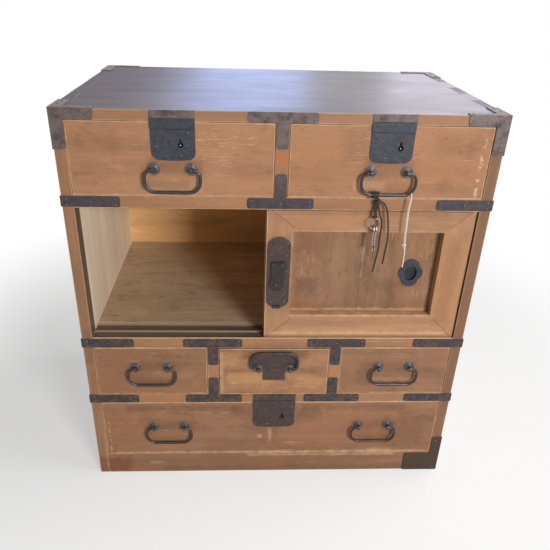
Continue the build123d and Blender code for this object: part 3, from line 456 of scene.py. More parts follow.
def smooth(mesh, rounded=True):
    for polygon in mesh.polygons:
        polygon.use_smooth = rounded


def bake(piece):
    """Turn a piece and its modifiers into a plain mesh."""
    mesh = finished_mesh(piece)
    piece.modifiers.clear()
    piece.data = mesh


def round_off(shape, corners):
    """Round the corners of front plates that are still sharp at some (x, z) places, in millimetres."""
    sharp = []
    for edge in shape.edges:
        one, other = (vertex.co for vertex in edge.verts)
        if abs(one.x - other.x) > 1e-5 or abs(one.z - other.z) > 1e-5:
            continue
        if any(abs(one.x - x * MM) < 1e-4 and abs(one.z - z * MM) < 1e-4 for x, z in corners):
            sharp.append(edge)
    bmesh.ops.bevel(
        shape, geom=sharp, offset=IRON_CORNER_RADIUS, offset_type="OFFSET", segments=6, affect="EDGES",
        profile=0.5,
    )


def solid_from_node(node, name, width, material, segments=2, corners=()):
    """A CAD node's shape with its edges eased, standing for that node."""
    source = frame["nodes"][node]
    mesh = source.data.copy()
    mesh.name = name
    shape = bmesh.new()
    shape.from_mesh(mesh)
    bmesh.ops.remove_doubles(shape, verts=shape.verts, dist=1e-6)
    bmesh.ops.dissolve_limit(
        shape, angle_limit=math.radians(1.0), verts=shape.verts, edges=shape.edges, delimit={"NORMAL"}
    )
    if corners:
        round_off(shape, corners)
    shape.to_mesh(mesh)
    shape.free()
    piece = linked(name, mesh)
    mesh.materials.clear()
    mesh.materials.append(material)
    bevel = piece.modifiers.new("Eased edges", "BEVEL")
    bevel.width = width
    bevel.segments = segments
    bevel.limit_method = "ANGLE"
    bevel.angle_limit = math.radians(35)
    bevel.use_clamp_overlap = True
    bake(piece)
    smooth(piece.data, False)
    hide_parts(node)
    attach(piece, source["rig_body"])
    return piece


def paint(material, *nodes):
    """Give carried-over nodes their finish."""
    for node in nodes:
        data = frame["nodes"][node].data
        data.materials.clear()
        data.materials.append(material)


def node_box(node):
    low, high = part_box(node)
    return (tuple(low), tuple(high))


def tube(name, points, radius, material):
    """A smooth cord along control points in millimetres."""
    curve = bpy.data.curves.new(name, "CURVE")
    curve.dimensions = "3D"
    curve.resolution_u = 12
    curve.bevel_depth = radius
    curve.bevel_resolution = 4
    curve.use_fill_caps = True
    line = curve.splines.new("NURBS")
    line.points.add(len(points) - 1)
    for point, place in zip(line.points, points):
        point.co = (*metres(place), 1.0)
    line.order_u = 3
    line.use_endpoint_u = True
    curve.materials.append(material)
    return linked(name, curve)


def meshed(pieces, name):
    """Join cords of one material into one plain mesh object."""
    material = pieces[0].data.materials[0]
    shape = bmesh.new()
    for piece in pieces:
        mesh = finished_mesh(piece)
        shape.from_mesh(mesh)
        bpy.data.meshes.remove(mesh)
        bpy.data.objects.remove(piece)
    bmesh.ops.recalc_face_normals(shape, faces=shape.faces)
    mesh = closed(shape, name)
    smooth(mesh)
    mesh.materials.append(material)
    return linked(name, mesh)


# ---- geometry trees
class Growth(Graph):
    """A geometry tree that puts a form on points, each turned to the way its point faces."""

    def __init__(self, name, inputs):
        tree = bpy.data.node_groups.new(name, "GeometryNodeTree")
        tree.interface.new_socket("Geometry", in_out="INPUT", socket_type="NodeSocketGeometry")
        for label, default in inputs.items():
            kind = "NodeSocketInt" if isinstance(default, int) else "NodeSocketFloat"
            tree.interface.new_socket(label, in_out="INPUT", socket_type=kind).default_value = default
        tree.interface.new_socket("Geometry", in_out="OUTPUT", socket_type="NodeSocketGeometry")
        super().__init__(tree)
        self.entry = tree.nodes.new("NodeGroupInput")

    def given(self, name):
        return Value(self, self.entry.outputs[name])

    def spread(self, form, material, **more):
        """Put the form on the points as real geometry, and close the tree."""
        kind = {"data_type": "FLOAT_VECTOR"}
        facing = self.node("GeometryNodeInputNamedAttribute", kind, {"Name": "facing"})
        turn = self.node("FunctionNodeAlignRotationToVector", {"axis": "Z"}, {"Vector": facing})
        values = {"Points": self.given("Geometry"), "Instance": form, "Rotation": turn, **more}
        placed = self.node("GeometryNodeInstanceOnPoints", None, values)
        real = self.node("GeometryNodeRealizeInstances", None, {"Geometry": placed})
        done = self.node("GeometryNodeSetMaterial", None, {"Geometry": real, "Material": material})
        self.node("NodeGroupOutput", None, {0: done})
        return self.tree


def stud_tree(material):
    """Nail heads, a little uneven in size."""
    growth = Growth("Nail heads", {"Head radius": 1.7 * MM, "Head rise": 0.9 * MM, "Seed": 0})
    radius = growth.given("Head radius")
    head = growth.node("GeometryNodeMeshUVSphere", None, {"Segments": 12, "Rings": 6, "Radius": radius})
    sizes = {2: 0.82, 3: 1.16, "Seed": growth.given("Seed")}
    uneven = growth.node("FunctionNodeRandomValue", {"data_type": "FLOAT"}, sizes, output=1)
    flat = growth.given("Head rise") / radius
    scale = growth.node("ShaderNodeCombineXYZ", None, {0: uneven, 1: uneven, 2: flat * uneven})
    return growth.spread(head, material, Scale=scale)


# The raised rings of a washer: the share of its radius, and the height above its foot in metres.
WASHER_RINGS = ((0.96, 0.5 * MM), (0.7, 1.7 * MM), (0.4, 2.9 * MM))


def ring_tree(material):
    """The raised rings of the washers."""
    growth = Growth("Washer rings", {"Washer radius": WASHER, "Ring width": 0.7 * MM})

    def circle(steps, radius):
        return growth.node("GeometryNodeCurvePrimitiveCircle", None, {"Resolution": steps, "Radius": radius})

    section = circle(8, growth.given("Ring width"))
    joined = growth.tree.nodes.new("GeometryNodeJoinGeometry")
    for share, lift in WASHER_RINGS:
        line = circle(32, growth.given("Washer radius") * share)
        ring = growth.node("GeometryNodeCurveToMesh", None, {"Curve": line, "Profile Curve": section})
        raised = growth.node("GeometryNodeTransform", None, {"Geometry": ring, "Translation": (0, 0, lift)})
        growth.tree.links.new(raised.socket, joined.inputs[0])
    return growth.spread(Value(growth, joined.outputs[0]), material)


def grown(name, places, tree, inputs, body):
    """Run a tree on points (x, y, z, facing), in millimetres, and keep the result as a plain mesh."""
    mesh = bpy.data.meshes.new(name)
    mesh.from_pydata([metres(place[:3]) for place in places], [], [])
    facing = mesh.attributes.new("facing", "FLOAT_VECTOR", "POINT")
    facing.data.foreach_set("vector", [value for place in places for value in place[3]])
    piece = linked(name, mesh)
    growth = piece.modifiers.new("Growth", "NODES")
    growth.node_group = tree
    for item in tree.interface.items_tree:
        if item.name in inputs:
            growth[item.identifier] = inputs[item.name]
    bake(piece)
    if not piece.data.polygons:
        raise RuntimeError(f"{name} grew nothing")
    smooth(piece.data)
    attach(piece, body)


TO_FRONT = (0.0, -1.0, 0.0)
TO_TOP = (0.0, 0.0, 1.0)


def metres(place):
    return tuple(value * MM for value in place)


def front_points(pairs, depth):
    return [(x, depth, z, TO_FRONT) for x, z in pairs]


# ---- ends and nails of the irons
# Half sizes of the bands and of the T irons, and the inner end of the straps, in millimetres.
HALF_BAND = 9.5
HALF_TEE_BAR = 57.0
HALF_TEE_LEG = 10.0
STRAP_END = 272.0


def tee_corners(x, low, high, leg_end):
    """The free corners of a T iron: four on its bar and two on its leg."""
    bar = [(x + side * HALF_TEE_BAR, z) for side in SIDES for z in (low, high)]
    return bar + [(x + side * HALF_TEE_LEG, leg_end) for side in SIDES]


def band_corners(x, middle, leg_end):
    return tee_corners(x, middle - HALF_BAND, middle + HALF_BAND, leg_end)


# The free ends of the irons, where each outline is rounded.
IRON_CORNERS = {
    "rail_end_straps": [
        (side * STRAP_END, middle + way * HALF_BAND)
        for side in SIDES
        for middle in RAIL_MIDDLES
        for way in SIDES
    ],
    "t_irons": tee_corners(0.0, 768.0, CASE_HEIGHT, 725.5)
    + band_corners(0.0, UPPER_RAIL, 682.75)
    + [
        corner
        for x in DIVIDERS
        for corner in band_corners(x, MIDDLE_RAIL, 289.25) + band_corners(x, LOWER_RAIL, 257.25)
    ],
    "corner_irons": [(side * x, z) for side in SIDES for x, z in ((302.0, 768.0), (350.0, 720.0))]
    + [(294.0, 49.0), (350.0, 95.0)],
}

# Painted shade under the raised band of each lock, and painted shade in the hollow of the front door's pull.
BAND_SHADE_LINES = ((-178.0, 755.6, 36.0, 0.7), (181.0, 755.6, 36.0, 0.7), (3.0, 181.1, 43.5, 0.7))
PULL_HOLLOW_SHADE = ((250.5, 488.0, 11.0),)

# Nails of each top corner iron and of the foot iron, as (x, z) on the front and (y, z) on the side.
CORNER_NAILS = ((309, 777), (332, 776), (360, 778), (360, 748), (362, 728), (355, 728))
FOOT_NAILS = ((302, 7), (302, 40), (335, 24), (362, 8), (359, 60), (358, 86))
SIDE_NAILS = (
    (-217, 748), (-217, 728), (-214, 776), (-190, 776), (-170, 776), (214, 776), (190, 776), (160, 776),
)
FOOT_SIDE_NAILS = ((-217, 12), (-190, 36), (-156, 10), (-155, 40), (-216, 86))
# Nails of the top corner irons as (x, y) on the top, and of the lock strikes as (x, z).
TOP_NAILS = (
    (309, -220), (340, -220), (362, -200), (362, -172), (306, 219), (340, 219), (362, 200), (362, 160),
)
STRIKE_NAILS = ((-202, 779.5), (-152, 779.5), (159, 779.5), (205, 779.5))


def strap_nails(side, middle):
    inner = [(STRAP_END + 7, middle - 5), (STRAP_END + 8, middle + 4.5)]
    outer = [(320.0, middle), (362.0, middle - 5), (361.0, middle + 5)]
    return [(side * x, z) for x, z in inner + outer]


def tee_nails(x, bar, leg_end):
    """Two nails at each end of the bar, one in its middle, three down the leg."""
    way = 1 if leg_end > bar else -1
    found = [(x + side * 50, bar + dz) for side in SIDES for dz in (-4.5, 4.5)]
    found += [(x, bar), (x - 4.5, leg_end - way * 6), (x + 4.5, leg_end - way * 6)]
    found.append((x, (bar + leg_end) / 2 + way * 4))
    return found


def case_nails():
    pairs = [pair for middle in RAIL_MIDDLES for side in SIDES for pair in strap_nails(side, middle)]
    pairs += tee_nails(0.0, 777.0, 725.5) + tee_nails(0.0, UPPER_RAIL, 682.5)
    for x in DIVIDERS:
        pairs += tee_nails(x, MIDDLE_RAIL, 289.5) + tee_nails(x, LOWER_RAIL, 257.0)
    pairs += [(side * x, z) for side in SIDES for x, z in CORNER_NAILS]
    places = front_points([*pairs, *FOOT_NAILS, *STRIKE_NAILS], IRON_FACE)
    for side in SIDES:
        spots = list(SIDE_NAILS)
        for middle in RAIL_MIDDLES:
            spots += [(-218, middle), (-200, middle - 4), (-186, middle + 4)]
        if side > 0:
            spots += FOOT_SIDE_NAILS
        places += [(side * (CASE_HALF_WIDTH + IRON), y, z, (float(side), 0.0, 0.0)) for y, z in spots]
        places += [(side * x, y, CASE_HEIGHT + IRON, TO_TOP) for x, y in TOP_NAILS]
    return places


# Nails of the lock plates, the door plate and the latch, as (x, z).
LOCK_NAILS = {
    "upper_left_drawer": [(-205, 727), (-153, 750), (-155, 729), (-190, 712), (-166, 712.5)],
    "upper_right_drawer": [(153, 750), (206, 750), (155.5, 729), (207, 730), (171, 713), (192, 714.5)],
    "bottom_drawer": [(-34, 181), (40, 180), (-34, 140), (40, 140), (-10, 137), (16, 137)],
}
DOOR_PLATE_NAILS = [
    (16.4, 554), (3.3, 547.5), (-13.2, 553), (-13.2, 531.5), (16, 531), (16, 500), (16, 476),
    (-14, 452), (-10.8, 434), (14.5, 434.6), (14, 456),
]
LATCH_NAILS = [(-2.5, 472), (8, 512), (-8, 513)]

# The body and place of each keyhole pin, their height, and two corners of the catch.
PINS = (("upper_left_drawer", -166.0), ("upper_right_drawer", 195.5))
PIN_Z = 729.5
CATCH_BOX = ((-8.0, -225.9, 420.0), (6.0, -224.0, 427.0))


# ---- cords
def route(points, y):
    return [(x, y, GRIP_Z - drop) for x, drop in points]


THONG_ROUTE = route(
    [
        (167.5, 16.5), (170.5, 31), (176.5, 44), (178.4, 59),
        (177, 77), (177.6, 97), (175.4, 120), (171.2, 148),
    ],
    GRIP_Y,
)
TAIL_ROUTE = route(
    [
        (169.5, 11), (176.5, 13.5), (182.5, 22), (186.3, 35), (189.3, 54),
        (191.7, 73), (191.4, 90), (189.8, 107), (187.9, 131),
    ],
    GRIP_Y,
)
STRING_ROUTE = route(
    [
        (221, -5.5), (222.6, 3), (221, 17), (220.3, 32), (220.8, 50),
        (221.2, 68), (221.6, 85), (223.8, 101), (224, 118), (223.6, 135),
    ],
    STRING_Y,
)
THONG_LENGTH = 0.1335
TAIL_LENGTH = 0.1276


def loop_points(centre, wide, deep, high, steps):
    """Control points once round a tilted loop, in millimetres."""
    x, y, z = centre
    angles = [2 * math.pi * step / steps for step in range(steps + 1)]
    return [(x + wide * math.cos(a), y + deep * math.sin(a), z + high * math.cos(a)) for a in angles]


# The string's knot and the outline of its eye, and the middle of the thong's knot.
STRING_KNOT = (222.4, STRING_Y, GRIP_Z - 91.0)
KNOT_EYE = ((-0.6, 0.0), (-4.6, 2.0), (-4.2, -2.6), (-0.4, -0.8))
THONG_KNOT_X = 165.5
THONG_KNOT_Z = GRIP_Z - 12.5
KEY_RING = (164.0, GRIP_Y, 610.5)
# Where the thong's turns round the grip begin, their length and their number.
WRAP_START = 154.6
WRAP_LENGTH = 10.8
WRAP_TURNS = 4


class CHEST_OT_cords(bpy.types.Operator):
    """Key thong with its two ends, and the white string"""

    bl_idname = "chest.cords"
    bl_label = "Cords"

    def execute(self, context):
        sizes = context.scene.chest_cords
        black = plain("Waxed thong", linear(26, 28, 30), 0.5, ripple=900.0)
        white = plain("Cotton string", linear(240, 236, 228), 0.85, ripple=1300.0, depth=0.4 * MM)
        for name, points, length, node in (
            ("thong_end", THONG_ROUTE, THONG_LENGTH, "key_thong"),
            ("thong_tail", TAIL_ROUTE, TAIL_LENGTH, "key_thong_tail"),
        ):
            cord = tube(name, points, sizes.thong / 2, black)
            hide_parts(node)
            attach(cord, "key_bundle")
            metres(points[0])
        string = tube("white_string", STRING_ROUTE, sizes.string / 2, white)
        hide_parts("tag_string")
        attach(string, "tag")
        thin = 0.8 * MM
        back_strand = [(x - 1.5, y + 0.9, z) for x, y, z in STRING_ROUTE[1:8]]
        pieces = [tube("back_strand", back_strand, thin, white)]
        for tilt, reach in ((0.5, 1.9), (-0.7, 1.7), (1.3, 1.5)):
            turn = loop_points(STRING_KNOT, reach * math.cos(tilt), 1.5, reach * math.sin(tilt), 10)
            pieces.append(tube("knot_turn", turn, thin, white))
        eye = [(STRING_KNOT[0] + dx, STRING_Y, STRING_KNOT[2] + dz) for dx, dz in KNOT_EYE]
        pieces.append(tube("knot_eye", eye, thin * 0.8, white))
        knot = meshed(pieces, "string_knot")
        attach(knot, "tag")
        metres(STRING_ROUTE[0])
        return {"FINISHED"}


class CHEST_OT_thong_knot(bpy.types.Operator):
    """Turns of the thong round the grip, its knots and the strand between them"""

    bl_idname = "chest.thong_knot"
    bl_label = "Thong knot"

    def execute(self, context):
        radius = context.scene.chest_cords.thong / 2
        black = plain("Waxed thong knot", linear(24, 30, 30), 0.45, ripple=900.0)
        reach = GRIP_RADIUS + 0.35 + radius / MM
        steps = 12 * WRAP_TURNS
        wrap = []
        for step in range(steps + 1):
            angle = 2 * math.pi * step / 12
            x = WRAP_START + WRAP_LENGTH * step / steps
            wrap.append((x, GRIP_Y + reach * math.sin(angle), GRIP_Z + reach * math.cos(angle)))
        strands = [("wrap", wrap)]
        for tilt, size in ((0.3, 4.6), (-0.5, 4.3), (1.2, 3.8), (0.9, 4.2)):
            centre = (THONG_KNOT_X + 0.5 * tilt, GRIP_Y, THONG_KNOT_Z + 1.3 * tilt)
            loop = loop_points(centre, size * math.cos(tilt), size * 0.7, size * math.sin(tilt), 12)
            strands.append(("loop", loop))
        for name, side, places in (
            ("strand_a", -1, ((164, 0, THONG_KNOT_Z), (162.4, 1, 626), (163.5, 0, 611))),
            ("strand_b", 1, ((166, 0, THONG_KNOT_Z), (166.4, 1, 625), (164.6, 0, 611))),
        ):
            strands.append((name, [(x, GRIP_Y + side * dy, z) for x, dy, z in places]))
        for tilt in (0.5, -0.4):
            strands.append(("ring_loop", loop_points(KEY_RING, 2.7, 2.2, 2.4 * tilt, 10)))
        knot = meshed([tube(name, points, radius, black) for name, points in strands], "thong_wrap")
        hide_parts("thong_knot")
        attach(knot, "key_bundle")
        return {"FINISHED"}


# ---- wear, tones and painted shade
# Dark lacquer of the top, with a purple cast that is partly painted reflection of the blue sheen.
TOP_TONE_AND_SHEEN = linear(98, 90, 98)
RAW_WOOD = linear(222, 176, 122)

# The finish of each drawer front against the tone of the fronts.
FRONT_SHADES = {
    "upper_left": 1.02, "upper_right": 1.0, "lower_left": 0.74, "lower_middle": 0.88,
    "lower_right": 0.74, "bottom": 0.77,
}

# Kind, x, z, half width and half height in millimetres, strength.
FRONT_MARKS = {
    "upper_left": (
        ("scratched", -118, 724, 30, 26, 0.95), ("scratched", -68, 742, 26, 14, 0.7),
        ("scratched", -150, 676, 34, 12, 0.6), ("scratched", -228, 742, 30, 10, 0.5),
        ("rubbed", -180, 655, 46, 5, 0.3), ("smudge_and_shadow", -178, 694, 44, 14, 0.28),
        ("keyhole_shade", -165, 730, 8, 10, 1.0), ("smudge_and_shadow", -196, 660, 40, 5, 0.22),
        ("smudge_and_shadow", -300, 736, 36, 18, 0.18),
    ),
    "upper_right": (
        ("scratched", 136, 727, 18, 26, 0.95), ("scratched", 232, 724, 20, 20, 0.45),
        ("flaked", 336, 696, 2.5, 54, 0.9), ("smudge_and_shadow", 122, 734, 20, 24, 0.25),
        ("smudge_and_shadow", 181, 694, 44, 14, 0.3), ("keyhole_shade", 195.5, 734, 8, 10, 1.0),
        ("rubbed", 150, 664, 28, 8, 0.28), ("smudge_and_shadow", 286, 735, 34, 18, 0.18),
    ),
    "lower_left": (
        ("smudge_and_shadow", -241, 284, 46, 12, 0.3), ("scratched", -215, 308, 40, 10, 0.5),
        ("ochre", -200, 262, 40, 8, 0.25),
    ),
    "lower_middle": (
        ("ochre", -46, 256, 46, 14, 0.6), ("ochre", 74, 250, 28, 12, 0.5), ("ochre", -88, 300, 16, 16, 0.4),
        ("smudge_and_shadow", 40, 276, 40, 5, 0.3), ("smudge_and_shadow", -70, 276, 30, 4, 0.3), ("scratched", 0, 240, 90, 10, 0.9),
        ("scratched", 84, 306, 20, 14, 0.7), ("smudge_and_shadow", 0, 316, 62, 9, 0.4), ("smudge_and_shadow", 0, 262, 24, 10, 0.35),
        ("rubbed", -104, 270, 3, 50, 0.4),
    ),
    "lower_right": (
        ("smudge_and_shadow", 241, 284, 46, 12, 0.32), ("smudge_and_shadow", 180, 268, 12, 26, 0.3),
        ("scratched", 270, 312, 40, 8, 0.6), ("rubbed", 241, 252, 40, 4, 0.3),
    ),
    "bottom": (
        ("scratched", -150, 172, 92, 14, 0.8), ("scratched", 110, 176, 60, 12, 0.6),
        ("smudge_and_shadow", -70, 168, 26, 16, 0.3), ("smudge_and_shadow", 76, 160, 26, 20, 0.35),
        ("smudge_and_shadow", -215, 131, 46, 12, 0.28), ("smudge_and_shadow", 215, 131, 46, 12, 0.3),
        ("rubbed", -4, 104, 2, 18, 0.6), ("rubbed", -26, 100, 3, 3, 0.8), ("rubbed", 0, 56, 330, 2, 0.35),
        ("ochre", 236, 58, 26, 5, 0.7), ("flaked", -341, 96, 2, 44, 0.6), ("smudge_and_shadow", 290, 100, 46, 40, 0.35),
        ("smudge_and_shadow", -180, 178, 120, 8, 0.35), ("smudge_and_shadow", 170, 178, 110, 8, 0.3),
        ("smudge_and_shadow", -20, 120, 40, 30, 0.2), ("keyhole_shade", 20, 163, 8, 10, 1.0),
    ),
}
FOOT_MARKS = (
    ("rust", -334, 22, 32, 21, 0.8), ("rubbed", -246, 28, 12, 3, 0.4), ("smudge_and_shadow", 40, 10, 280, 6, 0.3),
    ("rubbed", 110, 48, 160, 3, 0.4),
)
SIDE_MARKS = (
    ("rust", -362, 24, 11, 20, 0.7), ("smudge_and_shadow", -360, 330, 10, 40, 0.25), ("flaked", -352, 62, 1.5, 50, 0.3),
)
# A darker strip down the right post's front, partly painted shade.
RIGHT_MARKS = (("smudge_and_shadow", 360, 380, 12, 380, 0.4),)
DIVIDER_MARKS = (("knot", 0, 708, 9, 10, 0.7),)
DOOR_MARKS = (
    ("rubbed", 160, 363, 170, 3, 0.5), ("ochre", 120, 372, 110, 6, 0.35), ("smudge_and_shadow", 1, 494, 24, 76, 0.3),
    ("rubbed", 160, 404, 132, 1, 0.7), ("rubbed", 160, 578.5, 134, 1, 0.35), ("rubbed", 25, 560, 1, 12, 0.4),
    # The smudge at x 318 on the right stile is a painted shadow of the right post.
    ("smudge_and_shadow", 150, 612, 150, 4, 0.25), ("smudge_and_shadow", 318, 480, 12, 90, 0.18),
)
PANEL_MARKS = (
    ("scratched", 276, 500, 16, 62, 0.9), ("scratched", 52, 486, 18, 50, 0.6),
    ("smudge_and_shadow", 58, 548, 24, 20, 0.25), ("smudge_and_shadow", 56, 456, 18, 18, 0.45), ("rubbed", 160, 407, 134, 3, 0.6),
    # The smudge at x 293 is a painted shadow of the stile's inner edge on the panel.
    ("rubbed", 157, 520, 1.5, 40, 0.35), ("smudge_and_shadow", 250, 488, 26, 26, 0.3), ("smudge_and_shadow", 293, 492, 3, 84, 0.3),
)


# ---- the case and drawers
X_AXIS, Y_AXIS, Z_AXIS = 0, 1, 2


def zone(share, *bounds):
    """A mask's function: a share times a step for each (way, 0 at this place, 1 at that one), in metres."""

    def mask(finish):
        ways = {"across": finish.x.size(), "deep": finish.y, "up": finish.z}
        found = share
        for way, low, high in bounds:
            found = finish.step(ways[way], low, high) * found
        return found

    return mask


# The inner faces of the side boards: bare behind the doors' tracks, and dark where the doors slide, which on
# the right board is painted shade.
INNER_FACE = ("across", 0.3508, 0.3502)
INSIDE = zone(1.0, INNER_FACE, ("deep", -0.1985, -0.1965))
JAMB = zone(0.85, INNER_FACE, ("deep", -0.1965, -0.1985), ("up", 0.3520, 0.3540), ("up", 0.6190, 0.6170))
# The ends of the side boards that show in the top, and the edges of the top board below its lacquer.
LID = zone(1.0, ("up", 0.7850, 0.7856))
RIM = zone(1.0, ("up", 0.7856, 0.7850))
# The ends of the boards that show in the sides.
ENDS = zone(1.0, ("across", 0.3690, 0.3696))
# The sill's worn ridges, and the floors of its tracks.
SILL = zone(0.9, ("up", 0.3518, 0.3526))
GROOVE = zone(1.0, ("up", 0.3520, 0.3510), ("up", 0.3380, 0.3400), ("deep", -0.2218, -0.2212))
# The pale front edge of the compartment's floor.
FLOOR_EDGE = zone(1.0, ("deep", -0.1675, -0.1705))

# Widths of the door frames' stiles and rails, in metres.
SEAM_STILE = 0.048
OUTER_STILE = 0.044
FOOT_RAIL = 0.045
HEAD_RAIL = 0.0395


class CHEST_OT_case(bpy.types.Operator):
    """Sides, top, rails and dividers with rubbed edges, and the bare wood inside"""

    bl_idname = "chest.case"
    bl_label = "Carcass"

    def execute(self, context):
        look = context.scene.chest_wood
        case = look.case_tone
        bare = (*look.bare_tone, 1.0)
        sides = ((INSIDE, bare), (JAMB, linear(92, 78, 64)), (LID, TOP_TONE_AND_SHEEN))
        # The right board's dark jamb tone is painted shade: that inner face turns away from the key lamp.
        right_sides_with_shade = ((INSIDE, bare), (JAMB, linear(46, 34, 26)), (LID, TOP_TONE_AND_SHEEN))
        tracks = ((SILL, linear(172, 154, 134)), (GROOVE, linear(108, 92, 77)))
        pieces = (
            ("left_side", Z_AXIS, shade(case, 0.95), 0.4, "side_wood", sides, SIDE_MARKS),
            ("right_side", Z_AXIS, shade(case, 0.85), 0.4, "side_wood", right_sides_with_shade, RIGHT_MARKS),
            ("bottom_rail", X_AXIS, shade(case, 0.78), 0.6, "case_wood", (), FOOT_MARKS),
            ("lower_rail", X_AXIS, shade(case, 1.05), 0.6, "case_wood", (), ()),
            ("middle_rail", X_AXIS, shade(case, 1.0), 0.8, "case_wood", tracks, ()),
            ("upper_rail", X_AXIS, shade(case, 1.0), 0.6, "case_wood", (), ()),
            ("drawer_dividers", Z_AXIS, shade(case, 1.1), 0.6, "case_wood", (), DIVIDER_MARKS),
        )
        for node, axis, tone, wear, slot, over, marks in pieces:
            finish = wood(
                f"Carcass {node}", axis, tone, node_box(node), wear=wear, over=over, marks=marks,
                dull=(0.2, -0.2), dull_share=0.25, specular=0.4, reach=1.2,
            )
            piece = solid_from_node(node, f"{node}_worn", look.arris, finish)

        top = wood(
            "Top board", X_AXIS, TOP_TONE_AND_SHEEN, node_box("top_board"), gloss=0.36, stain=0.25, scuff=0.2,
            over=((RIM, shade(case, 0.98)), (ENDS, shade(case, 0.86))), dull=(-0.1, -0.34), specular=0.5,
        )
        solid_from_node("top_board", "top_board_worn", look.arris, top)
        raw = {"gloss": 0.7, "stain": 0.45, "scuff": 0}
        plank = wood("Bare boards", X_AXIS, RAW_WOOD, **raw)
        base = wood("Bottom board", X_AXIS, RAW_WOOD, over=((ENDS, shade(case, 0.82)),), **raw)
        paint(base, "bottom_board")
        paint(plank, "back_panel", "drawer_runners", "lower_shelf", "upper_shelf")
        floor = wood(
            "Compartment floor", X_AXIS, linear(196, 172, 142), gloss=0.6, stain=0.9, scuff=0.3,
            over=((FLOOR_EDGE, linear(228, 208, 180)),),
        )
        paint(floor, "middle_shelf")
        return {"FINISHED"}


class CHEST_OT_drawers(bpy.types.Operator):
    """Drawer fronts with rubbed edges, and the boxes behind them"""

    bl_idname = "chest.drawers"
    bl_label = "Drawers"

    def execute(self, context):
        look = context.scene.chest_wood
        bare = wood("Drawer boxes", Y_AXIS, linear(212, 176, 130), gloss=0.7, stain=0.3, scuff=0)
        for name in DRAWERS:
            node = f"{name}_drawer_front"
            finish = wood(
                f"Front {name}", X_AXIS, shade(look.front_tone, FRONT_SHADES[name]), node_box(node),
                wear=0.85, stain=0.62, scuff=0.5, marks=FRONT_MARKS[name],
            )
            solid_from_node(node, f"{name}_front_worn", look.arris, finish)
        paint(bare, *(f"{name}_drawer_box" for name in DRAWERS))
        return {"FINISHED"}


class CHEST_OT_doors(bpy.types.Operator):
    """Sliding door frames and panels"""

    bl_idname = "chest.doors"
    bl_label = "Sliding doors"

    def execute(self, context):
        look = context.scene.chest_wood
        for side in ("front", "rear"):
            node = f"{side}_door_frame"
            box = node_box(node)
            front = side == "front"
            stiles = (SEAM_STILE, OUTER_STILE) if front else (OUTER_STILE, SEAM_STILE)
            finish = wood(
                f"{side} frame", X_AXIS, look.door_tone, box, wear=0.7, stain=0.3,
                mitre=(box, (*stiles, FOOT_RAIL, HEAD_RAIL)), marks=DOOR_MARKS if front else (),
            )
            solid_from_node(node, f"{side}_frame_worn", look.arris, finish)
            panel = wood(
                f"{side} panel", Z_AXIS, shade(look.door_tone, 0.66), stain=0.75,
                marks=PANEL_MARKS if front else (), face=node_box(f"{side}_door_panel")[0][1],
            )
            paint(panel, f"{side}_door_panel")
        return {"FINISHED"}


# ---- iron
class CHEST_OT_mounts(bpy.types.Operator):
    """Corner irons, T irons, straps, lock plates, pulls, latch and bails"""

    bl_idname = "chest.mounts"
    bl_label = "Iron mounts"

    def execute(self, context):
        look = context.scene.chest_iron
        rust = look.rust_tone
        mount = iron("Mount iron", look.plate_tone, rust, low_rust=0.5, dusty=0.6)
        lock = iron(
            "Lock iron", linear(52, 56, 66), rust, 0.12, roughness=0.42, shade_lines=BAND_SHADE_LINES, shaded_hollow=PULL_HOLLOW_SHADE
        )
        brown = iron(
            "Browned iron", linear(66, 54, 52), linear(94, 68, 54), 0.45, roughness=0.5, shade_lines=BAND_SHADE_LINES
        )
        grip = iron("Bail iron", linear(58, 53, 58), rust, 0.25, roughness=0.28, metal=0.45, low_rust=0.3)
        post = iron("Washer iron", linear(68, 62, 60), linear(100, 78, 62), 0.3, roughness=0.4, metal=0.4)
        catch = iron("Latch iron", linear(42, 38, 42), linear(78, 56, 48), 0.3, roughness=0.4)
        for node in ("corner_irons", "t_irons", "rail_end_straps", "lock_strikes"):
            piece = solid_from_node(node, f"{node}_worn", look.edge, mount, 1, IRON_CORNERS.get(node, ()))
        paint(lock, "upper_left_lock", "upper_right_lock", "front_door_pull", "rear_door_pull")
        paint(brown, "bottom_lock", "handle_backplate", "front_door_lock_plate")
        paint(catch, "front_door_latch")
        paint(post, *(f"{name}_handle_posts" for name in DRAWERS))
        paint(grip, *(f"{name}_bail" for name in BAILS))
        return {"FINISHED"}


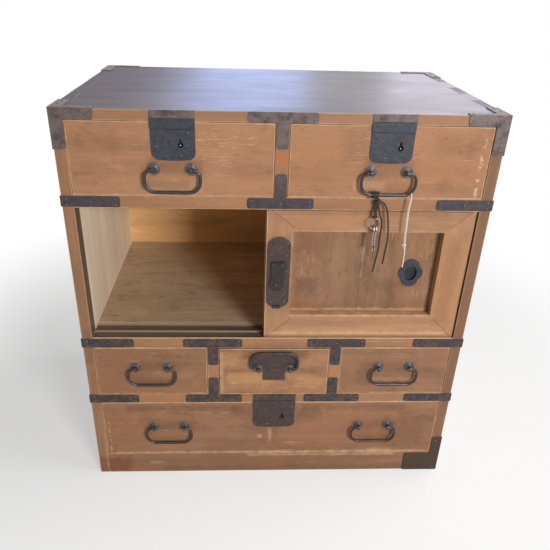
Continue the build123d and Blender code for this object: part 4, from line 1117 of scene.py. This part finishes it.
class CHEST_OT_nails(bpy.types.Operator):
    """Nail heads in the iron, grown on their points, and the rings of the washers"""

    bl_idname = "chest.nails"
    bl_label = "Nails and washers"

    def execute(self, context):
        look = context.scene.chest_iron
        head = iron("Nail iron", linear(100, 94, 92), linear(104, 78, 62), 0.35, roughness=0.36, metal=0.45)
        tree = stud_tree(head)
        sizes = {"Head radius": look.nail_radius, "Head rise": look.nail_rise, "Seed": look.seed}
        grown("case_nails", case_nails(), tree, sizes, "case")
        plates = [(f"{body}_nails", pairs, DRAWER_FACE - IRON, body) for body, pairs in LOCK_NAILS.items()]
        plates.append(("door_nails", DOOR_PLATE_NAILS, DOOR_PLATE_FACE, "front_door"))
        plates.append(("latch_nails", LATCH_NAILS, LATCH_FACE, "latch"))
        for name, pairs, face, body in plates:
            grown(name, front_points(pairs, face), tree, sizes, body)
        # The rings' light tone is a painted highlight on the same iron as the washers.
        raised = iron(
            "Washer rings", linear(124, 118, 116), linear(120, 96, 80), 0.25, roughness=0.36, metal=0.5
        )
        rings = ring_tree(raised)
        washers = {}
        for name, (x, z, body) in BAILS.items():
            face = PROUD_FACE - IRON if name == "lower_middle" else DRAWER_FACE
            places = [(x + side * PIN_HALF_SPACING, z) for side in SIDES]
            washers.setdefault(body, []).extend(front_points(places, face))
        for body, places in washers.items():
            radius = SMALL_WASHER if body == "lower_middle_drawer" else WASHER
            grown(f"{body}_washer_rings", places, rings, {"Washer radius": radius}, body)
        return {"FINISHED"}


class CHEST_OT_lock_parts(bpy.types.Operator):
    """Pins in the keyholes and the catch at the foot of the door plate"""

    bl_idname = "chest.lock_parts"
    bl_label = "Lock parts"

    def execute(self, context):
        tree = stud_tree(plain("Pin steel", linear(206, 200, 192), 0.3, metal=0.7))
        sizes = {"Head radius": 1.4 * MM, "Head rise": 2.4 * MM}
        for body, x in PINS:
            pin = front_points([(x, PIN_Z)], DRAWER_FACE - 0.4)
            grown(f"{body}_pin", pin, tree, sizes, body)
        shape = bmesh.new()
        made = bmesh.ops.create_cube(shape, size=1.0)
        for vertex in made["verts"]:
            vertex.co = metres(a if c < 0 else b for a, b, c in zip(*CATCH_BOX, vertex.co))
        bmesh.ops.bevel(shape, geom=shape.edges[:], offset=0.6 * MM, segments=2, affect="EDGES")
        mesh = closed(shape, "door_catch")
        mesh.materials.append(iron("Catch iron", linear(38, 44, 66), linear(84, 70, 66), 0.2))
        catch = linked("door_catch", mesh)
        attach(catch, "front_door")
        return {"FINISHED"}


class CHEST_OT_keys(bpy.types.Operator):
    """Split ring and keys"""

    bl_idname = "chest.keys"
    bl_label = "Keys"

    def execute(self, context):
        paint(plain("Key steel", linear(176, 160, 156), 0.35, metal=0.8), "keys")
        return {"FINISHED"}


# ---- stage
CAMERA_PLACE = (-0.0647, -1.1362, 0.9806)
CAMERA_TURN = (63.06364, -1.51678, -2.16597)
FOCAL_LENGTH = 37.11
CAMERA_SHIFT = (0.01244, -0.02288)
SENSOR_WIDTH = 36.0

# The share of plain white that the camera sees in the floor beside the chest, and the light of the room.
NEAR_GLOW = 0.5
AMBIENT = 0.08
# How far out the floor turns to plain white, and half its width, in metres.
FLOOR_FADE = (0.7, 1.4)
FLOOR_HALF = 6.0
WHITE = (1, 1, 1)
FLOOR_TONE = (0.92, 0.92, 0.92, 1)
# Name, place, target, size, power, colour, and whether the lamp lights more than the gloss.
LAMPS = (
    ("Key", (1.54, -3.13, 1.51), (0, -0.1, 0.45), (0.9, 0.9), 90, WHITE, True),
    ("Fill", (-1.9, -1.6, 1.3), (0, 0, 0.4), (1.6, 1.6), 2, WHITE, True),
    ("Overhead", (1.1, -0.1, 2.8), (0, 0, 0.4), (1.4, 1.4), 48, WHITE, True),
    ("Blue sheen", (-0.15, 2.6, 1.27), (-0.1, 0, 0.78), (1.0, 0.8), 8, (0.3, 0.46, 1.0), False),
    ("Pale sheen", (1.25, 2.4, 1.3), (0.2, 0, 0.78), (0.9, 0.8), 5, (0.82, 0.8, 1.0), False),
)


def lamp(name, place, target, size, energy, colour, diffuse):
    """A soft panel of light turned to a point, unseen by the camera."""
    data = bpy.data.lights.new(name, "AREA")
    data.shape = "RECTANGLE"
    data.size, data.size_y = size
    data.energy = energy
    data.color = colour
    piece = linked(name, data)
    piece.location = place
    piece.rotation_euler = (Vector(target) - Vector(place)).to_track_quat("-Z", "Y").to_euler()
    piece.visible_camera = False
    piece.visible_diffuse = diffuse


def seen_rays(graph):
    """1 on rays to the camera, also off gloss and through glass, and 0 on those that light the chest."""
    paths = graph.tree.nodes.new("ShaderNodeLightPath")
    seen = Value(graph, paths.outputs["Is Camera Ray"])
    for name in ("Is Glossy Ray", "Is Transmission Ray"):
        seen = seen.most(Value(graph, paths.outputs[name]))
    return seen


class CHEST_OT_stage(bpy.types.Operator):
    """Camera, floor, lamps and background"""

    bl_idname = "chest.stage"
    bl_label = "Stage"

    def execute(self, context):
        scene = context.scene
        camera_data = bpy.data.cameras.new("Camera")
        camera_data.lens = FOCAL_LENGTH
        camera_data.sensor_width = SENSOR_WIDTH
        camera_data.shift_x, camera_data.shift_y = CAMERA_SHIFT
        camera = linked("Camera", camera_data)
        camera.location = CAMERA_PLACE
        camera.rotation_euler = tuple(math.radians(angle) for angle in CAMERA_TURN)
        scene.camera = camera

        shape = bmesh.new()
        bmesh.ops.create_grid(shape, x_segments=1, y_segments=1, size=FLOOR_HALF)
        floor = linked("floor", closed(shape, "floor"))
        pale = Finish("Pale floor")
        matt = pale.node("ShaderNodeBsdfDiffuse", None, {"Color": FLOOR_TONE})
        glow = pale.node("ShaderNodeEmission", None, {"Color": (*WHITE, 1), "Strength": 1.0})
        away = pale.node("ShaderNodeVectorMath", {"operation": "LENGTH"}, {0: pale.place}, output=1)
        share = pale.step(away, *FLOOR_FADE) * (1.0 - NEAR_GLOW) + NEAR_GLOW
        mixed = pale.node("ShaderNodeMixShader", None, {0: seen_rays(pale) * share, 1: matt, 2: glow})
        pale.node("ShaderNodeOutputMaterial", None, {0: mixed})
        floor.data.materials.append(pale.material)

        world = bpy.data.worlds.new("Studio")
        world.use_nodes = True
        world.node_tree.nodes.clear()
        sky = Graph(world.node_tree)
        strength = seen_rays(sky) * (1.0 - AMBIENT) + AMBIENT
        background = sky.node("ShaderNodeBackground", None, {"Color": (*WHITE, 1), "Strength": strength})
        sky.node("ShaderNodeOutputWorld", None, {0: background})
        scene.world = world
        for settings in LAMPS:
            lamp(*settings)
        scene.view_settings.view_transform = "Standard"
        return {"FINISHED"}


class CHEST_PT_panel(bpy.types.Panel):
    """Sizes, colours and steps of the chest"""

    bl_idname = "CHEST_PT_panel"
    bl_label = "Clothing chest"
    bl_space_type = "VIEW_3D"
    bl_region_type = "UI"
    bl_category = "Chest"

    def draw(self, context):
        for group_name in GROUPS:
            group = getattr(context.scene, group_name)
            box = self.layout.box()
            for name in group.__annotations__:
                box.prop(group, name)
        for step in STEPS:
            self.layout.operator(step.bl_idname)


GROUPS = {"chest_wood": ChestWood, "chest_iron": ChestIron, "chest_cords": ChestCords}
STEPS = (
    CHEST_OT_stage,
    CHEST_OT_cords,
    CHEST_OT_thong_knot,
    CHEST_OT_case,
    CHEST_OT_drawers,
    CHEST_OT_doors,
    CHEST_OT_mounts,
    CHEST_OT_nails,
    CHEST_OT_lock_parts,
    CHEST_OT_keys,
)


CLASSES = (*GROUPS.values(), *STEPS, CHEST_PT_panel)


def register():
    for kind in CLASSES:
        bpy.utils.register_class(kind)
    for name, group in GROUPS.items():
        setattr(bpy.types.Scene, name, PointerProperty(type=group))


def unregister():
    for name in GROUPS:
        delattr(bpy.types.Scene, name)
    for kind in reversed(CLASSES):
        bpy.utils.unregister_class(kind)


def main():
    register()
    for step in STEPS:
        group, name = step.bl_idname.split(".")
        getattr(getattr(bpy.ops, group), name)()


if __name__ == "__main__":
    main()
